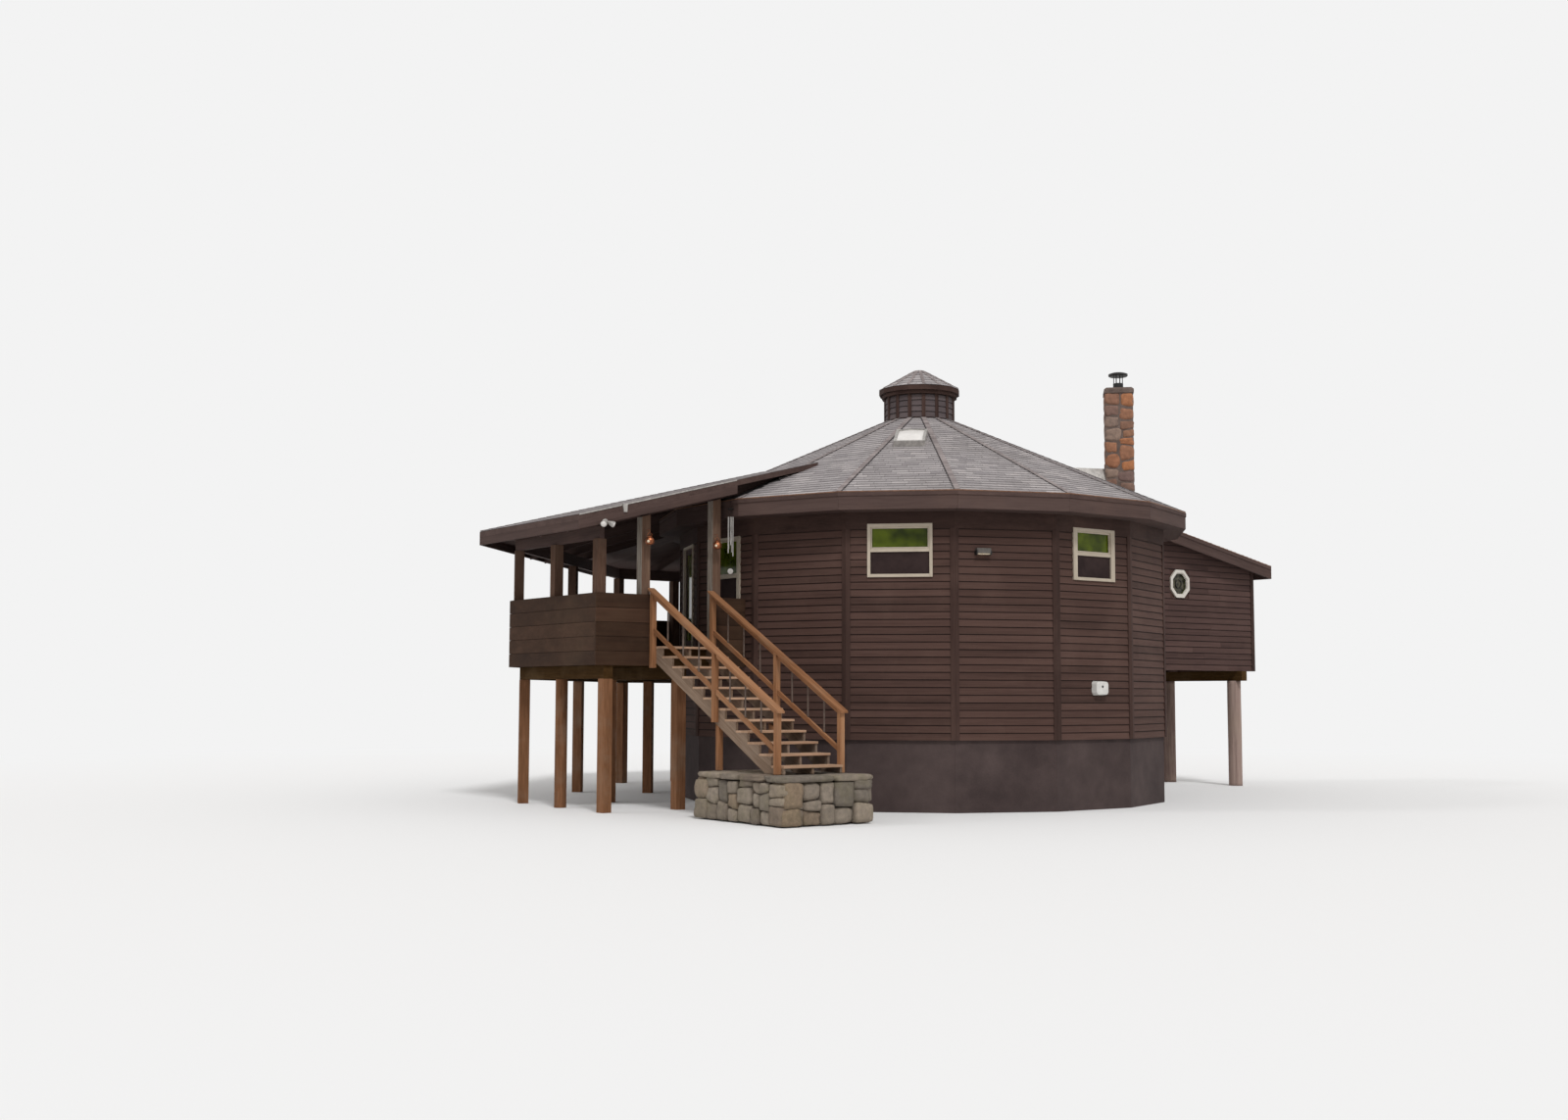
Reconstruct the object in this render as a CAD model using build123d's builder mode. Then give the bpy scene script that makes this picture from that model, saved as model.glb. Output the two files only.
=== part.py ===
from build123d import *
from math import atan, cos, degrees, hypot, radians, sin, tan
import os

os.makedirs("parts", exist_ok=True)

# Round house: equal sides about the origin, with the front side facing -Y.
# A turn is an angle about +Z from -Y, so 90 faces +X and -90 faces -X.
sides = 16
house_radius = 4880  # centre to the outer corners of the wall
wall_thickness = 150
joint_gap = 2  # open joint between neighbouring panels and boards
seat = 0.3  # clearance under a piece that rests on another

# Heights above the lowest ground
siding_base = 1250
floor_top = 2880
storey_height = 2696  # upper floor to the roof's edge
floor_thickness = 250
foundation_setback = 30

# Main roof
eave_overhang = 446  # wall to the outer face of the fascia
roof_slope = 0.452
roof_thickness = 150
fascia_thickness = 40
fascia_depth = 316
soffit_thickness = 20

# Cupola on the crown of the roof
cupola_radius = 700
cupola_wall_thickness = 60
cupola_wall_height = 459
cupola_eave_radius = 830
cupola_eave_step = 50  # the lower board of the eave stands this far back
cupola_roof_edge = 105  # height of each of the eave's two steps
cupola_rise = 370  # eave to the top
cupola_hat_radius = 110

# Skylight on the front side of the roof
skylight_turn = 0
skylight_width = 600
skylight_length = 860
skylight_distance = 2270  # centre of the house to the skylight's centre
skylight_curb = 50
skylight_height = 120

# Chimney inside the wall at the back right
chimney_turn = 112.5
chimney_inset = 402  # inner face of the wall to the chimney's middle
chimney_shift = -466
chimney_width = 570
chimney_top = 8450
chimney_cap_height = 120
chimney_cap_overhang = 20
chimney_cap_chamfer = 45
chimney_clearance = 0.3
flue_radius = 105
flue_height = 250
flue_cap_radius = 200
flue_cap_height = 100

# Windows and the deck door
window_height = 945
window_head_drop = 210  # underside of the eave to the window's head
wide_window = 1150
narrow_window = 980
tall_window = 900
tall_window_height = 1480
tall_window_head_drop = 290
frame_width = 55
frame_depth = 100
frame_proud = 20
pane_thickness = 20
door_width = 900
door_head_drop = 350
door_leaf_thickness = 45
door_stile = 110
octagon_width = 620

# Deck round the left of the house
deck_depth = 3154  # wall to the faces of the two slanting sides
deck_left_setback = 473  # the left side's face stands this much nearer to the wall
deck_end = 667  # the two ends stand this far past the slanting sides' middles
deck_clearance = 20
deck_thickness = 60
joist_depth = 280
joist_width = 50
joist_spacing = 610
joist_count = 6
beam_width = 180
beam_depth = 230
beam_inset = 280  # deck face to the middle of the outer beam
inner_beam_share = 0.5675  # of the deck's depth, from its face
post_size = 175
leg_size = 190
log_leg_radius = 110
leg_inset = 140  # deck end to the middle of the first leg
end_post_shares = (0.3235, 0.799)  # the posts beside the stair, as shares of the deck's depth
guard_height = 918
guard_drop = 340  # floor to the foot of the guard's boards
guard_thickness = 40

# Porch roof over the deck
porch_overhang = 540
porch_end_overhang = 350
porch_slope = 0.26
porch_eave_drop = 492  # main roof's edge to the porch roof's edge
porch_thickness = 100
porch_fascia_depth = 250
porch_beam_width = 90
plate_drop = 344  # porch roof's edge to the underside of the plates
rafter_depth = 190
rafter_width = 45
rafter_spacing = 1000
rafter_count = 3

# Stair from the open end of the deck towards the front right
risers = 11  # from the tread level with the deck to the lowest tread
riser_height = 178
step_run = 328
first_nosing = 340  # deck end to the front edge of the tread level with the deck
stair_shares = (0.3646, 0.7355)  # ends of the treads, as shares of the deck's depth
tread_thickness = 38
tread_nosing = 25
stringer_width = 45
stringer_depth = 185
newel_size = 90
newel_stations = (80, 2060, 3830)  # deck end to the middle of each newel
newel_drops = (520, 367)  # line of the nosings to the feet of the upper newels
rail_height = 850
rail_width = 140
rail_thickness = 38
rail_end = 3930
low_rail_height = 200
low_rail_depth = 90
low_rail_width = 38
baluster_radius = 14
balusters_per_bay = 3
base_step = 132  # lowest tread to the stone base under the foot
base_start = 1850
base_end = 4350
base_side = 330

# Raised wing at the back right
wing_turn = 135
wing_half_width = 1130
wing_length = 4374  # wall of the house to the wing's end
wing_wall = 120
wing_drop = 272  # floor to the foot of the wing's walls
wing_floor_thickness = 150
wing_doorway_width = 900
wing_end_overhang = 340
wing_roof_drop = 539  # main roof's edge to the wing roof's edge
wing_slope = 0.196
wing_roof_thickness = 110
wing_rake_overhang = 300
wing_rake_depth = 290
wing_rake_thickness = 40
log_post_radius = 160
log_post_inset = 510  # the wing's end to the middle of the posts
log_post_shift = 970
wing_beam_depth = 220
wing_beam_width = 180
wing_beam_reach = 1270
octagon_reach = 1834  # wall of the house to the window's middle
octagon_drop = 963  # the wing wall's head to the window's middle

eave_height = floor_top + storey_height
fascia_bottom = eave_height - fascia_depth
guard_top = floor_top + guard_height
guard_bottom = floor_top - guard_drop
door_height = fascia_bottom - door_head_drop - floor_top
porch_eave_height = eave_height - porch_eave_drop
plate_bottom = porch_eave_height - plate_drop
wing_roof_height = eave_height - wing_roof_drop
wing_bottom = floor_top - wing_drop
base_top = floor_top - risers * riser_height - base_step
half_side = 180 / sides
mitre = tan(radians(half_side))
side_turns = [360 / sides * index for index in range(sides)]
wall_outer = house_radius * cos(radians(half_side))
wall_inner = wall_outer - wall_thickness
eave_distance = wall_outer + eave_overhang
wing_end = wall_outer + wing_length
wing_roof_end = wing_end + wing_end_overhang
deck_reach = wall_outer + deck_depth
deck_left = deck_reach - deck_left_setback


def outward(turn):
    return Vector(sin(radians(turn)), -cos(radians(turn)), 0)


def along(turn):
    return Vector(cos(radians(turn)), sin(radians(turn)), 0)


def place(turn, distance, shift=0, height=0):
    return outward(turn) * distance + along(turn) * shift + Vector(0, 0, height)


def side_plane(turn, distance=0, shift=0, height=0):
    """Plan plane whose x runs along a side and whose y runs inward."""
    return Plane(origin=place(turn, distance, shift, height), x_dir=along(turn), z_dir=(0, 0, 1))


def mitred(profile, turn, left, right):
    """A length with one (distance, height) profile, cut at both ends to an (offset, spread) line."""
    with BuildSketch(Plane(origin=(0, 0, 0), x_dir=outward(turn), z_dir=-along(turn))) as section:
        with BuildLine():
            Polyline(*profile, close=True)
        make_face()
    length = extrude(section.sketch, amount=wing_roof_end, both=True, mode=Mode.PRIVATE)
    for (offset, spread), kept in ((left, Keep.BOTTOM), (right, Keep.TOP)):
        across = outward(turn) + along(turn) * spread
        cut = Plane(origin=along(turn) * offset, x_dir=across, z_dir=across.cross(Vector(0, 0, 1)))
        length = split(length, bisect_by=cut, keep=kept, mode=Mode.PRIVATE)
    add(length)


def ring(profile, turns=side_turns):
    for turn in turns:
        mitred(profile, turn, (joint_gap / 2, -mitre), (-joint_gap / 2, mitre))


def block(turn, distance, shift, height, across, deep, tall, mode=Mode.ADD):
    """A box stood on its base, square to a side."""
    with BuildSketch(side_plane(turn, distance, shift, height)) as base:
        Rectangle(across, deep)
    extrude(base.sketch, amount=tall, mode=mode)


def roof_at(distance):
    return eave_height + roof_slope * (eave_distance - distance)


def wing_roof_at(distance):
    return wing_roof_height + wing_slope * (wing_roof_end - distance)


def house_outline(radius):
    return RegularPolygon(radius, sides, rotation=90 - half_side)


def clear_house(clearance):
    """Cuts away the house's outline, grown by a clearance."""
    with BuildSketch() as outline:
        house_outline(house_radius + clearance)
    extrude(outline.sketch, amount=eave_height, mode=Mode.SUBTRACT)


def save(piece, name):
    piece.part.label = name
    export_step(piece.part, f"parts/{name}.step")


cupola_outer = cupola_radius * cos(radians(half_side))
cupola_inner = cupola_outer - cupola_wall_thickness

# The space of the main roof, which other pieces are cut back to
with BuildPart() as roof_space:
    with BuildSketch(Plane.XY.offset(fascia_bottom - seat)) as skirt:
        house_outline((eave_distance + seat) / cos(radians(half_side)))
    extrude(skirt.sketch, amount=eave_height - fascia_bottom + 2 * seat)
    with BuildSketch(Plane.XY.offset(eave_height + seat)) as roof_foot:
        house_outline((eave_distance + seat) / cos(radians(half_side)))
    extrude(roof_foot.sketch, amount=roof_at(cupola_inner) - eave_height, taper=degrees(atan(1 / roof_slope)))


def clear_roof():
    add(roof_space.part, mode=Mode.SUBTRACT)


# Foundation
with BuildPart() as foundation:
    outer = wall_outer - foundation_setback
    ring([(outer, 0), (outer, siding_base), (wall_inner, siding_base), (wall_inner, 0)])
save(foundation, "foundation")

# Windows: (turn of the wall side, shift along it, width, sill, height)
window_sill = fascia_bottom - window_head_drop - window_height
tall_window_sill = fascia_bottom - tall_window_head_drop - tall_window_height
windows = [
    (0, 0, wide_window, window_sill, window_height),
    (45, 0, narrow_window, window_sill, window_height),
    (90, 0, narrow_window, window_sill, window_height),
    (180, 0, wide_window, window_sill, window_height),
    (-135, 0, narrow_window, window_sill, window_height),
    (-90, 0, narrow_window, window_sill, window_height),
    (-45, 0, tall_window, tall_window_sill, tall_window_height),
]
door_turn = -67.5

# Walls, two sides to a piece, cut for windows, the deck door and the way into the wing
wall_names = {
    "front_wall": (-22.5, 0),
    "front_right_wall": (22.5, 45),
    "right_wall": (67.5, 90),
    "back_right_wall": (112.5, 135),
    "back_wall": (157.5, 180),
    "back_left_wall": (-157.5, -135),
    "left_wall": (-112.5, -90),
    "deck_door_wall": (-67.5, -45),
}
wall_head = roof_at(wall_outer) - roof_thickness - seat
wall_profile = [
    (wall_outer, siding_base + seat),
    (wall_outer, wall_head),
    (wall_inner, wall_head + roof_slope * wall_thickness),
    (wall_inner, siding_base + seat),
]
wall_middle = wall_outer - wall_thickness / 2
for name, turns in wall_names.items():
    with BuildPart() as wall:
        ring(wall_profile, turns)
        for turn, shift, width, sill, height in windows:
            if turn in turns:
                block(turn, wall_middle, shift, sill, width, 2 * wall_thickness, height, Mode.SUBTRACT)
        if door_turn in turns:
            block(door_turn, wall_middle, 0, floor_top, door_width + 2 * frame_width,
                  2 * wall_thickness, door_height + frame_width, Mode.SUBTRACT)
        if wing_turn in turns:
            block(wing_turn, wall_middle, 0, floor_top, wing_doorway_width,
                  2 * wall_thickness, door_height, Mode.SUBTRACT)
    save(wall, name)

# Floor of the upper storey
chimney_point = place(chimney_turn, wall_inner - chimney_inset, chimney_shift)
with BuildPart() as main_floor:
    with BuildSketch(Plane.XY.offset(floor_top - floor_thickness)):
        house_outline((wall_inner - seat) / cos(radians(half_side)))
        with Locations(chimney_point):
            Rectangle(chimney_width + 2 * chimney_clearance, chimney_width + 2 * chimney_clearance,
                      mode=Mode.SUBTRACT)
    extrude(amount=floor_thickness)
save(main_floor, "main_floor")

# Main roof
roof_edge = eave_distance - fascia_thickness
skylight_plane = Plane(
    origin=place(skylight_turn, skylight_distance, 0, roof_at(skylight_distance)),
    x_dir=along(skylight_turn),
    z_dir=outward(skylight_turn) * roof_slope + Vector(0, 0, 1),
)
with BuildPart() as main_roof:
    ring([
        (roof_edge, roof_at(roof_edge) - roof_thickness),
        (roof_edge, roof_at(roof_edge)),
        (cupola_inner, roof_at(cupola_inner)),
        (cupola_inner, roof_at(cupola_inner) - roof_thickness),
    ])
    with BuildSketch(Plane.XY.offset(floor_top)) as stack_hole:
        with Locations(chimney_point):
            Rectangle(chimney_width + 2 * chimney_clearance, chimney_width + 2 * chimney_clearance)
    extrude(stack_hole.sketch, amount=chimney_top, mode=Mode.SUBTRACT)
    with BuildSketch(skylight_plane) as skylight_hole:
        Rectangle(skylight_width - 2 * skylight_curb, skylight_length - 2 * skylight_curb)
    extrude(skylight_hole.sketch, amount=-2 * roof_thickness, mode=Mode.SUBTRACT)
save(main_roof, "main_roof")

with BuildPart() as eave_fascia:
    ring([
        (eave_distance, fascia_bottom),
        (eave_distance, eave_height),
        (roof_edge + seat, roof_at(roof_edge + seat)),
        (roof_edge + seat, fascia_bottom),
    ])
save(eave_fascia, "eave_fascia")

with BuildPart() as eave_soffit:
    ring([
        (wall_outer + seat, fascia_bottom),
        (wall_outer + seat, fascia_bottom + soffit_thickness),
        (roof_edge, fascia_bottom + soffit_thickness),
        (roof_edge, fascia_bottom),
    ])
save(eave_soffit, "eave_soffit")

# Cupola
cupola_wall_top = roof_at(cupola_outer) + cupola_wall_height
cupola_roof_foot = cupola_wall_top + seat + 2 * cupola_roof_edge
cupola_run = (cupola_eave_radius - cupola_hat_radius) * cos(radians(half_side))
with BuildPart() as cupola_wall:
    ring([
        (cupola_outer, roof_at(cupola_outer) + seat),
        (cupola_outer, cupola_wall_top),
        (cupola_inner, cupola_wall_top),
        (cupola_inner, roof_at(cupola_inner) + seat),
    ])
save(cupola_wall, "cupola_wall")

with BuildPart() as cupola_roof:
    with BuildSketch(Plane.XY.offset(cupola_wall_top + seat)) as lower_step:
        house_outline(cupola_eave_radius - cupola_eave_step)
    extrude(lower_step.sketch, amount=cupola_roof_edge)
    with BuildSketch(Plane.XY.offset(cupola_wall_top + seat + cupola_roof_edge)) as brim:
        house_outline(cupola_eave_radius)
    extrude(brim.sketch, amount=cupola_roof_edge)
    with BuildSketch(Plane.XY.offset(cupola_roof_foot)) as slope_foot:
        house_outline(cupola_eave_radius)
    extrude(slope_foot.sketch, amount=cupola_rise, taper=degrees(atan(cupola_run / cupola_rise)))
save(cupola_roof, "cupola_roof")

# Skylight
with BuildPart() as skylight_frame:
    with BuildSketch(skylight_plane.offset(seat)) as curb:
        Rectangle(skylight_width, skylight_length)
        Rectangle(skylight_width - 2 * skylight_curb, skylight_length - 2 * skylight_curb,
                  mode=Mode.SUBTRACT)
    extrude(curb.sketch, amount=skylight_height)
save(skylight_frame, "skylight_frame")

with BuildPart() as skylight_glass:
    with BuildSketch(skylight_plane.offset(skylight_height - 2 * pane_thickness)) as pane:
        Rectangle(skylight_width - 2 * skylight_curb - 2 * seat,
                  skylight_length - 2 * skylight_curb - 2 * seat)
    extrude(pane.sketch, amount=pane_thickness)
save(skylight_glass, "skylight_glass")

# Chimney
with BuildPart() as chimney:
    with BuildSketch() as stack:
        with Locations(chimney_point):
            Rectangle(chimney_width, chimney_width)
    extrude(stack.sketch, amount=chimney_top - chimney_cap_height)
    with BuildSketch(Plane.XY.offset(chimney_top - chimney_cap_height)) as crown_slab:
        with Locations(chimney_point):
            Rectangle(chimney_width + 2 * chimney_cap_overhang, chimney_width + 2 * chimney_cap_overhang)
    extrude(crown_slab.sketch, amount=chimney_cap_height)
    chamfer(chimney.faces().sort_by(Axis.Z)[-1].edges(), chimney_cap_chamfer)
save(chimney, "chimney")

with BuildPart() as flue_cap:
    with BuildSketch(Plane.XY.offset(chimney_top + seat)) as flue:
        with Locations(chimney_point):
            Circle(flue_radius)
    extrude(flue.sketch, amount=flue_height)
    with BuildSketch(Plane.XY.offset(chimney_top + seat + flue_height)) as hood:
        with Locations(chimney_point):
            Circle(flue_cap_radius)
    extrude(hood.sketch, amount=flue_cap_height, taper=20)
save(flue_cap, "flue_cap")

# Glazed door from the upper storey to the deck
frame_middle = wall_outer + frame_proud - frame_depth / 2
with BuildPart() as door_frame:
    block(door_turn, frame_middle, 0, floor_top + seat, door_width + 2 * frame_width - 2 * seat,
          frame_depth, door_height + frame_width - 2 * seat)
    block(door_turn, frame_middle, 0, floor_top, door_width, 2 * frame_depth, door_height, Mode.SUBTRACT)
save(door_frame, "door_frame")

with BuildPart() as deck_door:
    block(door_turn, frame_middle, 0, floor_top + seat, door_width - 2 * seat, door_leaf_thickness,
          door_height - 2 * seat)
    block(door_turn, frame_middle, 0, floor_top + seat + 2 * door_stile, door_width - 2 * door_stile,
          2 * door_leaf_thickness, door_height - 3 * door_stile, Mode.SUBTRACT)
save(deck_door, "deck_door")

# Raised wing: its sides lie in planes through the house's centre line, spread to either hand
wing_side = Plane(origin=(0, 0, 0), x_dir=outward(wing_turn), z_dir=-along(wing_turn))
wing_inner_half = wing_half_width - wing_wall
wing_end_inner = wing_end - wing_wall
wing_start = wall_inner
wing_head = wing_roof_thickness + seat
log_post_distance = wing_end - log_post_inset
octagon_distance = wall_outer + octagon_reach
octagon_height = wing_roof_at(octagon_distance) - wing_head - octagon_drop


def wing_panel(profile, shift, thickness, mode=Mode.ADD):
    """A (distance, height) profile standing along the wing."""
    with BuildSketch(wing_side.offset(shift)) as panel:
        with BuildLine():
            Polyline(*profile, close=True)
        make_face()
    extrude(panel.sketch, amount=thickness, mode=mode)


wing_wall_profile = [
    (wing_start, wing_bottom),
    (wing_end, wing_bottom),
    (wing_end, wing_roof_at(wing_end) - wing_head),
    (wing_start, wing_roof_at(wing_start) - wing_head),
]
octagon_half_turn = 22.5
octagon_radius = octagon_width / 2 / cos(radians(octagon_half_turn))
octagon_plane = Plane(
    origin=outward(wing_turn) * octagon_distance + Vector(0, 0, octagon_height),
    x_dir=outward(wing_turn),
    z_dir=-along(wing_turn),
)
with BuildPart() as wing_front_wall:
    wing_panel(wing_wall_profile, wing_inner_half, wing_wall)
    with BuildSketch(octagon_plane.offset(wing_inner_half)) as octagon_hole:
        RegularPolygon(octagon_radius, 8, rotation=octagon_half_turn)
    extrude(octagon_hole.sketch, amount=wing_wall, mode=Mode.SUBTRACT)
    clear_roof()
    clear_house(seat)
save(wing_front_wall, "wing_front_wall")

with BuildPart() as wing_back_wall:
    wing_panel(wing_wall_profile, -wing_half_width, wing_wall)
    clear_roof()
    clear_house(seat)
save(wing_back_wall, "wing_back_wall")

with BuildPart() as wing_end_wall:
    wing_panel([
        (wing_end_inner, wing_bottom),
        (wing_end, wing_bottom),
        (wing_end, wing_roof_at(wing_end) - wing_head),
        (wing_end_inner, wing_roof_at(wing_end_inner) - wing_head),
    ], seat - wing_inner_half, 2 * (wing_inner_half - seat))
save(wing_end_wall, "wing_end_wall")

with BuildPart() as wing_floor:
    wing_panel([
        (wing_start, floor_top - wing_floor_thickness),
        (wing_end_inner - seat, floor_top - wing_floor_thickness),
        (wing_end_inner - seat, floor_top),
        (wing_start, floor_top),
    ], seat - wing_inner_half, 2 * (wing_inner_half - seat))
    clear_house(seat)
save(wing_floor, "wing_floor")

# The wing roof's edges run in to the main roof over the sides next to the wing's
wing_roof_half = wing_half_width + wing_rake_overhang
next_side = radians(360 / sides)
wing_roof_start = ((roof_at(wing_roof_half * sin(next_side)) - wing_roof_at(0))
                   / (roof_slope * cos(next_side) - wing_slope))
with BuildPart() as wing_roof:
    wing_panel([
        (wing_roof_start, wing_roof_at(wing_roof_start) - wing_roof_thickness),
        (wing_roof_end, wing_roof_at(wing_roof_end) - wing_roof_thickness),
        (wing_roof_end, wing_roof_at(wing_roof_end)),
        (wing_roof_start, wing_roof_at(wing_roof_start)),
    ], -wing_roof_half, 2 * wing_roof_half)
    clear_roof()
save(wing_roof, "wing_roof")

wing_board_top = wing_roof_thickness + seat
with BuildPart() as wing_rakes:
    for shift in (wing_roof_half - wing_rake_thickness, -wing_roof_half):
        wing_panel([
            (eave_distance, wing_roof_at(eave_distance) - wing_rake_depth),
            (wing_roof_end, wing_roof_at(wing_roof_end) - wing_rake_depth),
            (wing_roof_end, wing_roof_at(wing_roof_end) - wing_board_top),
            (eave_distance, wing_roof_at(eave_distance) - wing_board_top),
        ], shift, wing_rake_thickness)
    end_board_inner = wing_roof_end - wing_rake_thickness
    wing_panel([
        (end_board_inner, wing_roof_at(wing_roof_end) - wing_rake_depth),
        (wing_roof_end, wing_roof_at(wing_roof_end) - wing_rake_depth),
        (wing_roof_end, wing_roof_at(wing_roof_end) - wing_board_top),
        (end_board_inner, wing_roof_at(end_board_inner) - wing_board_top),
    ], wing_rake_thickness + joint_gap - wing_roof_half,
        2 * (wing_roof_half - wing_rake_thickness - joint_gap))
    clear_roof()
save(wing_rakes, "wing_rakes")

beam_top = wing_bottom - seat
with BuildPart() as wing_beam:
    wing_panel([
        (log_post_distance - wing_beam_width / 2, beam_top - wing_beam_depth),
        (log_post_distance + wing_beam_width / 2, beam_top - wing_beam_depth),
        (log_post_distance + wing_beam_width / 2, beam_top),
        (log_post_distance - wing_beam_width / 2, beam_top),
    ], -wing_beam_reach, 2 * wing_beam_reach)
save(wing_beam, "wing_beam")

with BuildPart() as wing_posts:
    for shift in (-log_post_shift, log_post_shift):
        with BuildSketch(side_plane(wing_turn, log_post_distance, shift, 0)) as log_end:
            Circle(log_post_radius)
        extrude(log_end.sketch, amount=beam_top - wing_beam_depth - seat)
save(wing_posts, "wing_posts")

# Window frames and panes of the upper storey, the octagon of the wing among them
with BuildPart() as window_frames:
    for turn, shift, width, sill, height in windows:
        light = (height - 2 * seat - 3 * frame_width) / 2
        block(turn, frame_middle, shift, sill + seat, width - 2 * seat, frame_depth, height - 2 * seat)
        for foot in (sill + seat + frame_width, sill + seat + 2 * frame_width + light):
            block(turn, frame_middle, shift, foot, width - 2 * frame_width, 2 * frame_depth, light,
                  Mode.SUBTRACT)
    octagon_front = octagon_plane.offset(wing_half_width + frame_proud)
    with BuildSketch(octagon_front) as octagon_rim:
        RegularPolygon(octagon_radius - seat, 8, rotation=octagon_half_turn)
        RegularPolygon(octagon_radius - frame_width, 8, rotation=octagon_half_turn, mode=Mode.SUBTRACT)
    extrude(octagon_rim.sketch, amount=-frame_depth)
save(window_frames, "window_frames")

with BuildPart() as window_glass:
    for turn, shift, width, sill, height in windows:
        light = (height - 2 * seat - 3 * frame_width) / 2
        for foot in (sill + seat + frame_width, sill + seat + 2 * frame_width + light):
            block(turn, frame_middle, shift, foot + seat, width - 2 * frame_width - 2 * seat,
                  pane_thickness, light - 2 * seat)
    block(door_turn, frame_middle, 0, floor_top + 2 * seat + 2 * door_stile,
          door_width - 2 * door_stile - 2 * seat, pane_thickness, door_height - 3 * door_stile - 2 * seat)
    with BuildSketch(octagon_plane.offset(wing_half_width + frame_proud - frame_depth / 2)) as octagon_pane:
        RegularPolygon(octagon_radius - frame_width - seat, 8, rotation=octagon_half_turn)
    extrude(octagon_pane.sketch, amount=-pane_thickness)
save(window_glass, "window_glass")

# Deck: each side has its distance to the face, and the lines that end it at the left and the right
left_turn = -90
deck_turn = 45  # turn from one deck side to the next
front_slant = left_turn + deck_turn
back_slant = left_turn - deck_turn
corner_turn = deck_turn / 2
corner_mitre = tan(radians(corner_turn))
slant_corner = (deck_left - deck_reach * cos(radians(deck_turn))) / sin(radians(deck_turn))
mitre_offset = corner_mitre * deck_reach - slant_corner
deck_sides = {
    front_slant: (deck_reach, (mitre_offset, -corner_mitre), (deck_end, 0)),
    left_turn: (deck_left, (-mitre_offset, -corner_mitre), (mitre_offset, corner_mitre)),
    back_slant: (deck_reach, (-deck_end, 0), (-mitre_offset, corner_mitre)),
}


def deck_band(profile, open_end=0):
    """An (inset from the deck's face, height) profile run round the deck, its open ends moved inward."""
    for turn, (reach, left, right) in deck_sides.items():
        ends = []
        for (offset, spread), hand in ((left, 1), (right, -1)):
            shorten = joint_gap / 2 if spread else open_end
            ends.append((offset + hand * shorten, spread))
        mitred([(reach - inset, height) for inset, height in profile], turn, *ends)


def column(point, turn, width, bottom, top):
    base = Plane(origin=(point.X, point.Y, bottom), x_dir=along(turn), z_dir=(0, 0, 1))
    with BuildSketch(base) as foot:
        Rectangle(width, width)
    extrude(foot.sketch, amount=top - bottom)


def corner_point(hand, inset):
    """A point on the line where two deck sides meet, by its distance in from both faces."""
    distance = deck_reach - inset
    return place(left_turn + hand * deck_turn, distance, hand * (mitre_offset - corner_mitre * distance))


deck_bottom = floor_top - deck_thickness
joist_bottom = deck_bottom - seat - joist_depth
board_inset = guard_thickness + seat
deck_run = deck_reach - wall_inner * cos(radians(corner_turn))
with BuildPart() as deck_floor:
    deck_band([
        (board_inset, deck_bottom),
        (board_inset, floor_top),
        (deck_run, floor_top),
        (deck_run, deck_bottom),
    ], board_inset)
    clear_house(deck_clearance)
save(deck_floor, "deck_floor")

end_posts = [deck_reach - share * deck_depth for share in end_post_shares]
inner_beam_inset = inner_beam_share * deck_depth
opening_left = end_posts[0] - post_size / 2
opening_right = end_posts[1] + post_size / 2
with BuildPart() as deck_joists:
    for turn, (reach, left, right) in deck_sides.items():
        for step in range(-joist_count, joist_count + 1):
            shift = step * joist_spacing
            start = wall_inner
            for (offset, spread), hand in ((left, -1), (right, 1)):
                room = hand * (offset - shift) - joist_width
                if spread:
                    start = max(start, -room / corner_mitre)
                elif room < guard_thickness:
                    start = reach
            if reach - board_inset - start > joist_depth:
                mitred([
                    (start, joist_bottom),
                    (reach - board_inset, joist_bottom),
                    (reach - board_inset, deck_bottom - seat),
                    (start, deck_bottom - seat),
                ], turn, (shift - joist_width / 2, 0), (shift + joist_width / 2, 0))
    mitred([
        (opening_right, guard_bottom),
        (opening_left, guard_bottom),
        (opening_left, floor_top - tread_thickness - seat),
        (opening_right, floor_top - tread_thickness - seat),
    ], front_slant, (deck_end - guard_thickness, 0), (deck_end, 0))
    clear_house(seat)
save(deck_joists, "deck_joists")

deck_beam_top = joist_bottom - seat
deck_beam_bottom = deck_beam_top - beam_depth
with BuildPart() as deck_beams:
    for inset in (beam_inset, inner_beam_inset):
        deck_band([
            (inset - beam_width / 2, deck_beam_bottom),
            (inset - beam_width / 2, deck_beam_top),
            (inset + beam_width / 2, deck_beam_top),
            (inset + beam_width / 2, deck_beam_bottom),
        ], guard_thickness)
save(deck_beams, "deck_beams")

leg_top = deck_beam_bottom - seat
with BuildPart() as deck_legs:
    for inset in (beam_inset, inner_beam_inset):
        for hand in (1, -1):
            slant = left_turn + hand * deck_turn
            column(place(slant, deck_reach - inset, hand * (deck_end - leg_inset)), slant, leg_size, 0, leg_top)
            column(corner_point(hand, inset), left_turn + hand * corner_turn, leg_size, 0, leg_top)
        column(place(left_turn, deck_left - inset), left_turn, leg_size, 0, leg_top)
    for hand in (1, -1):
        slant = left_turn + hand * deck_turn
        middle = (deck_end - leg_inset - slant_corner) / 2
        with BuildSketch(side_plane(slant, deck_reach - beam_inset, hand * middle)) as log_foot:
            Circle(log_leg_radius)
        extrude(log_foot.sketch, amount=leg_top)
save(deck_legs, "deck_legs")

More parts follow.
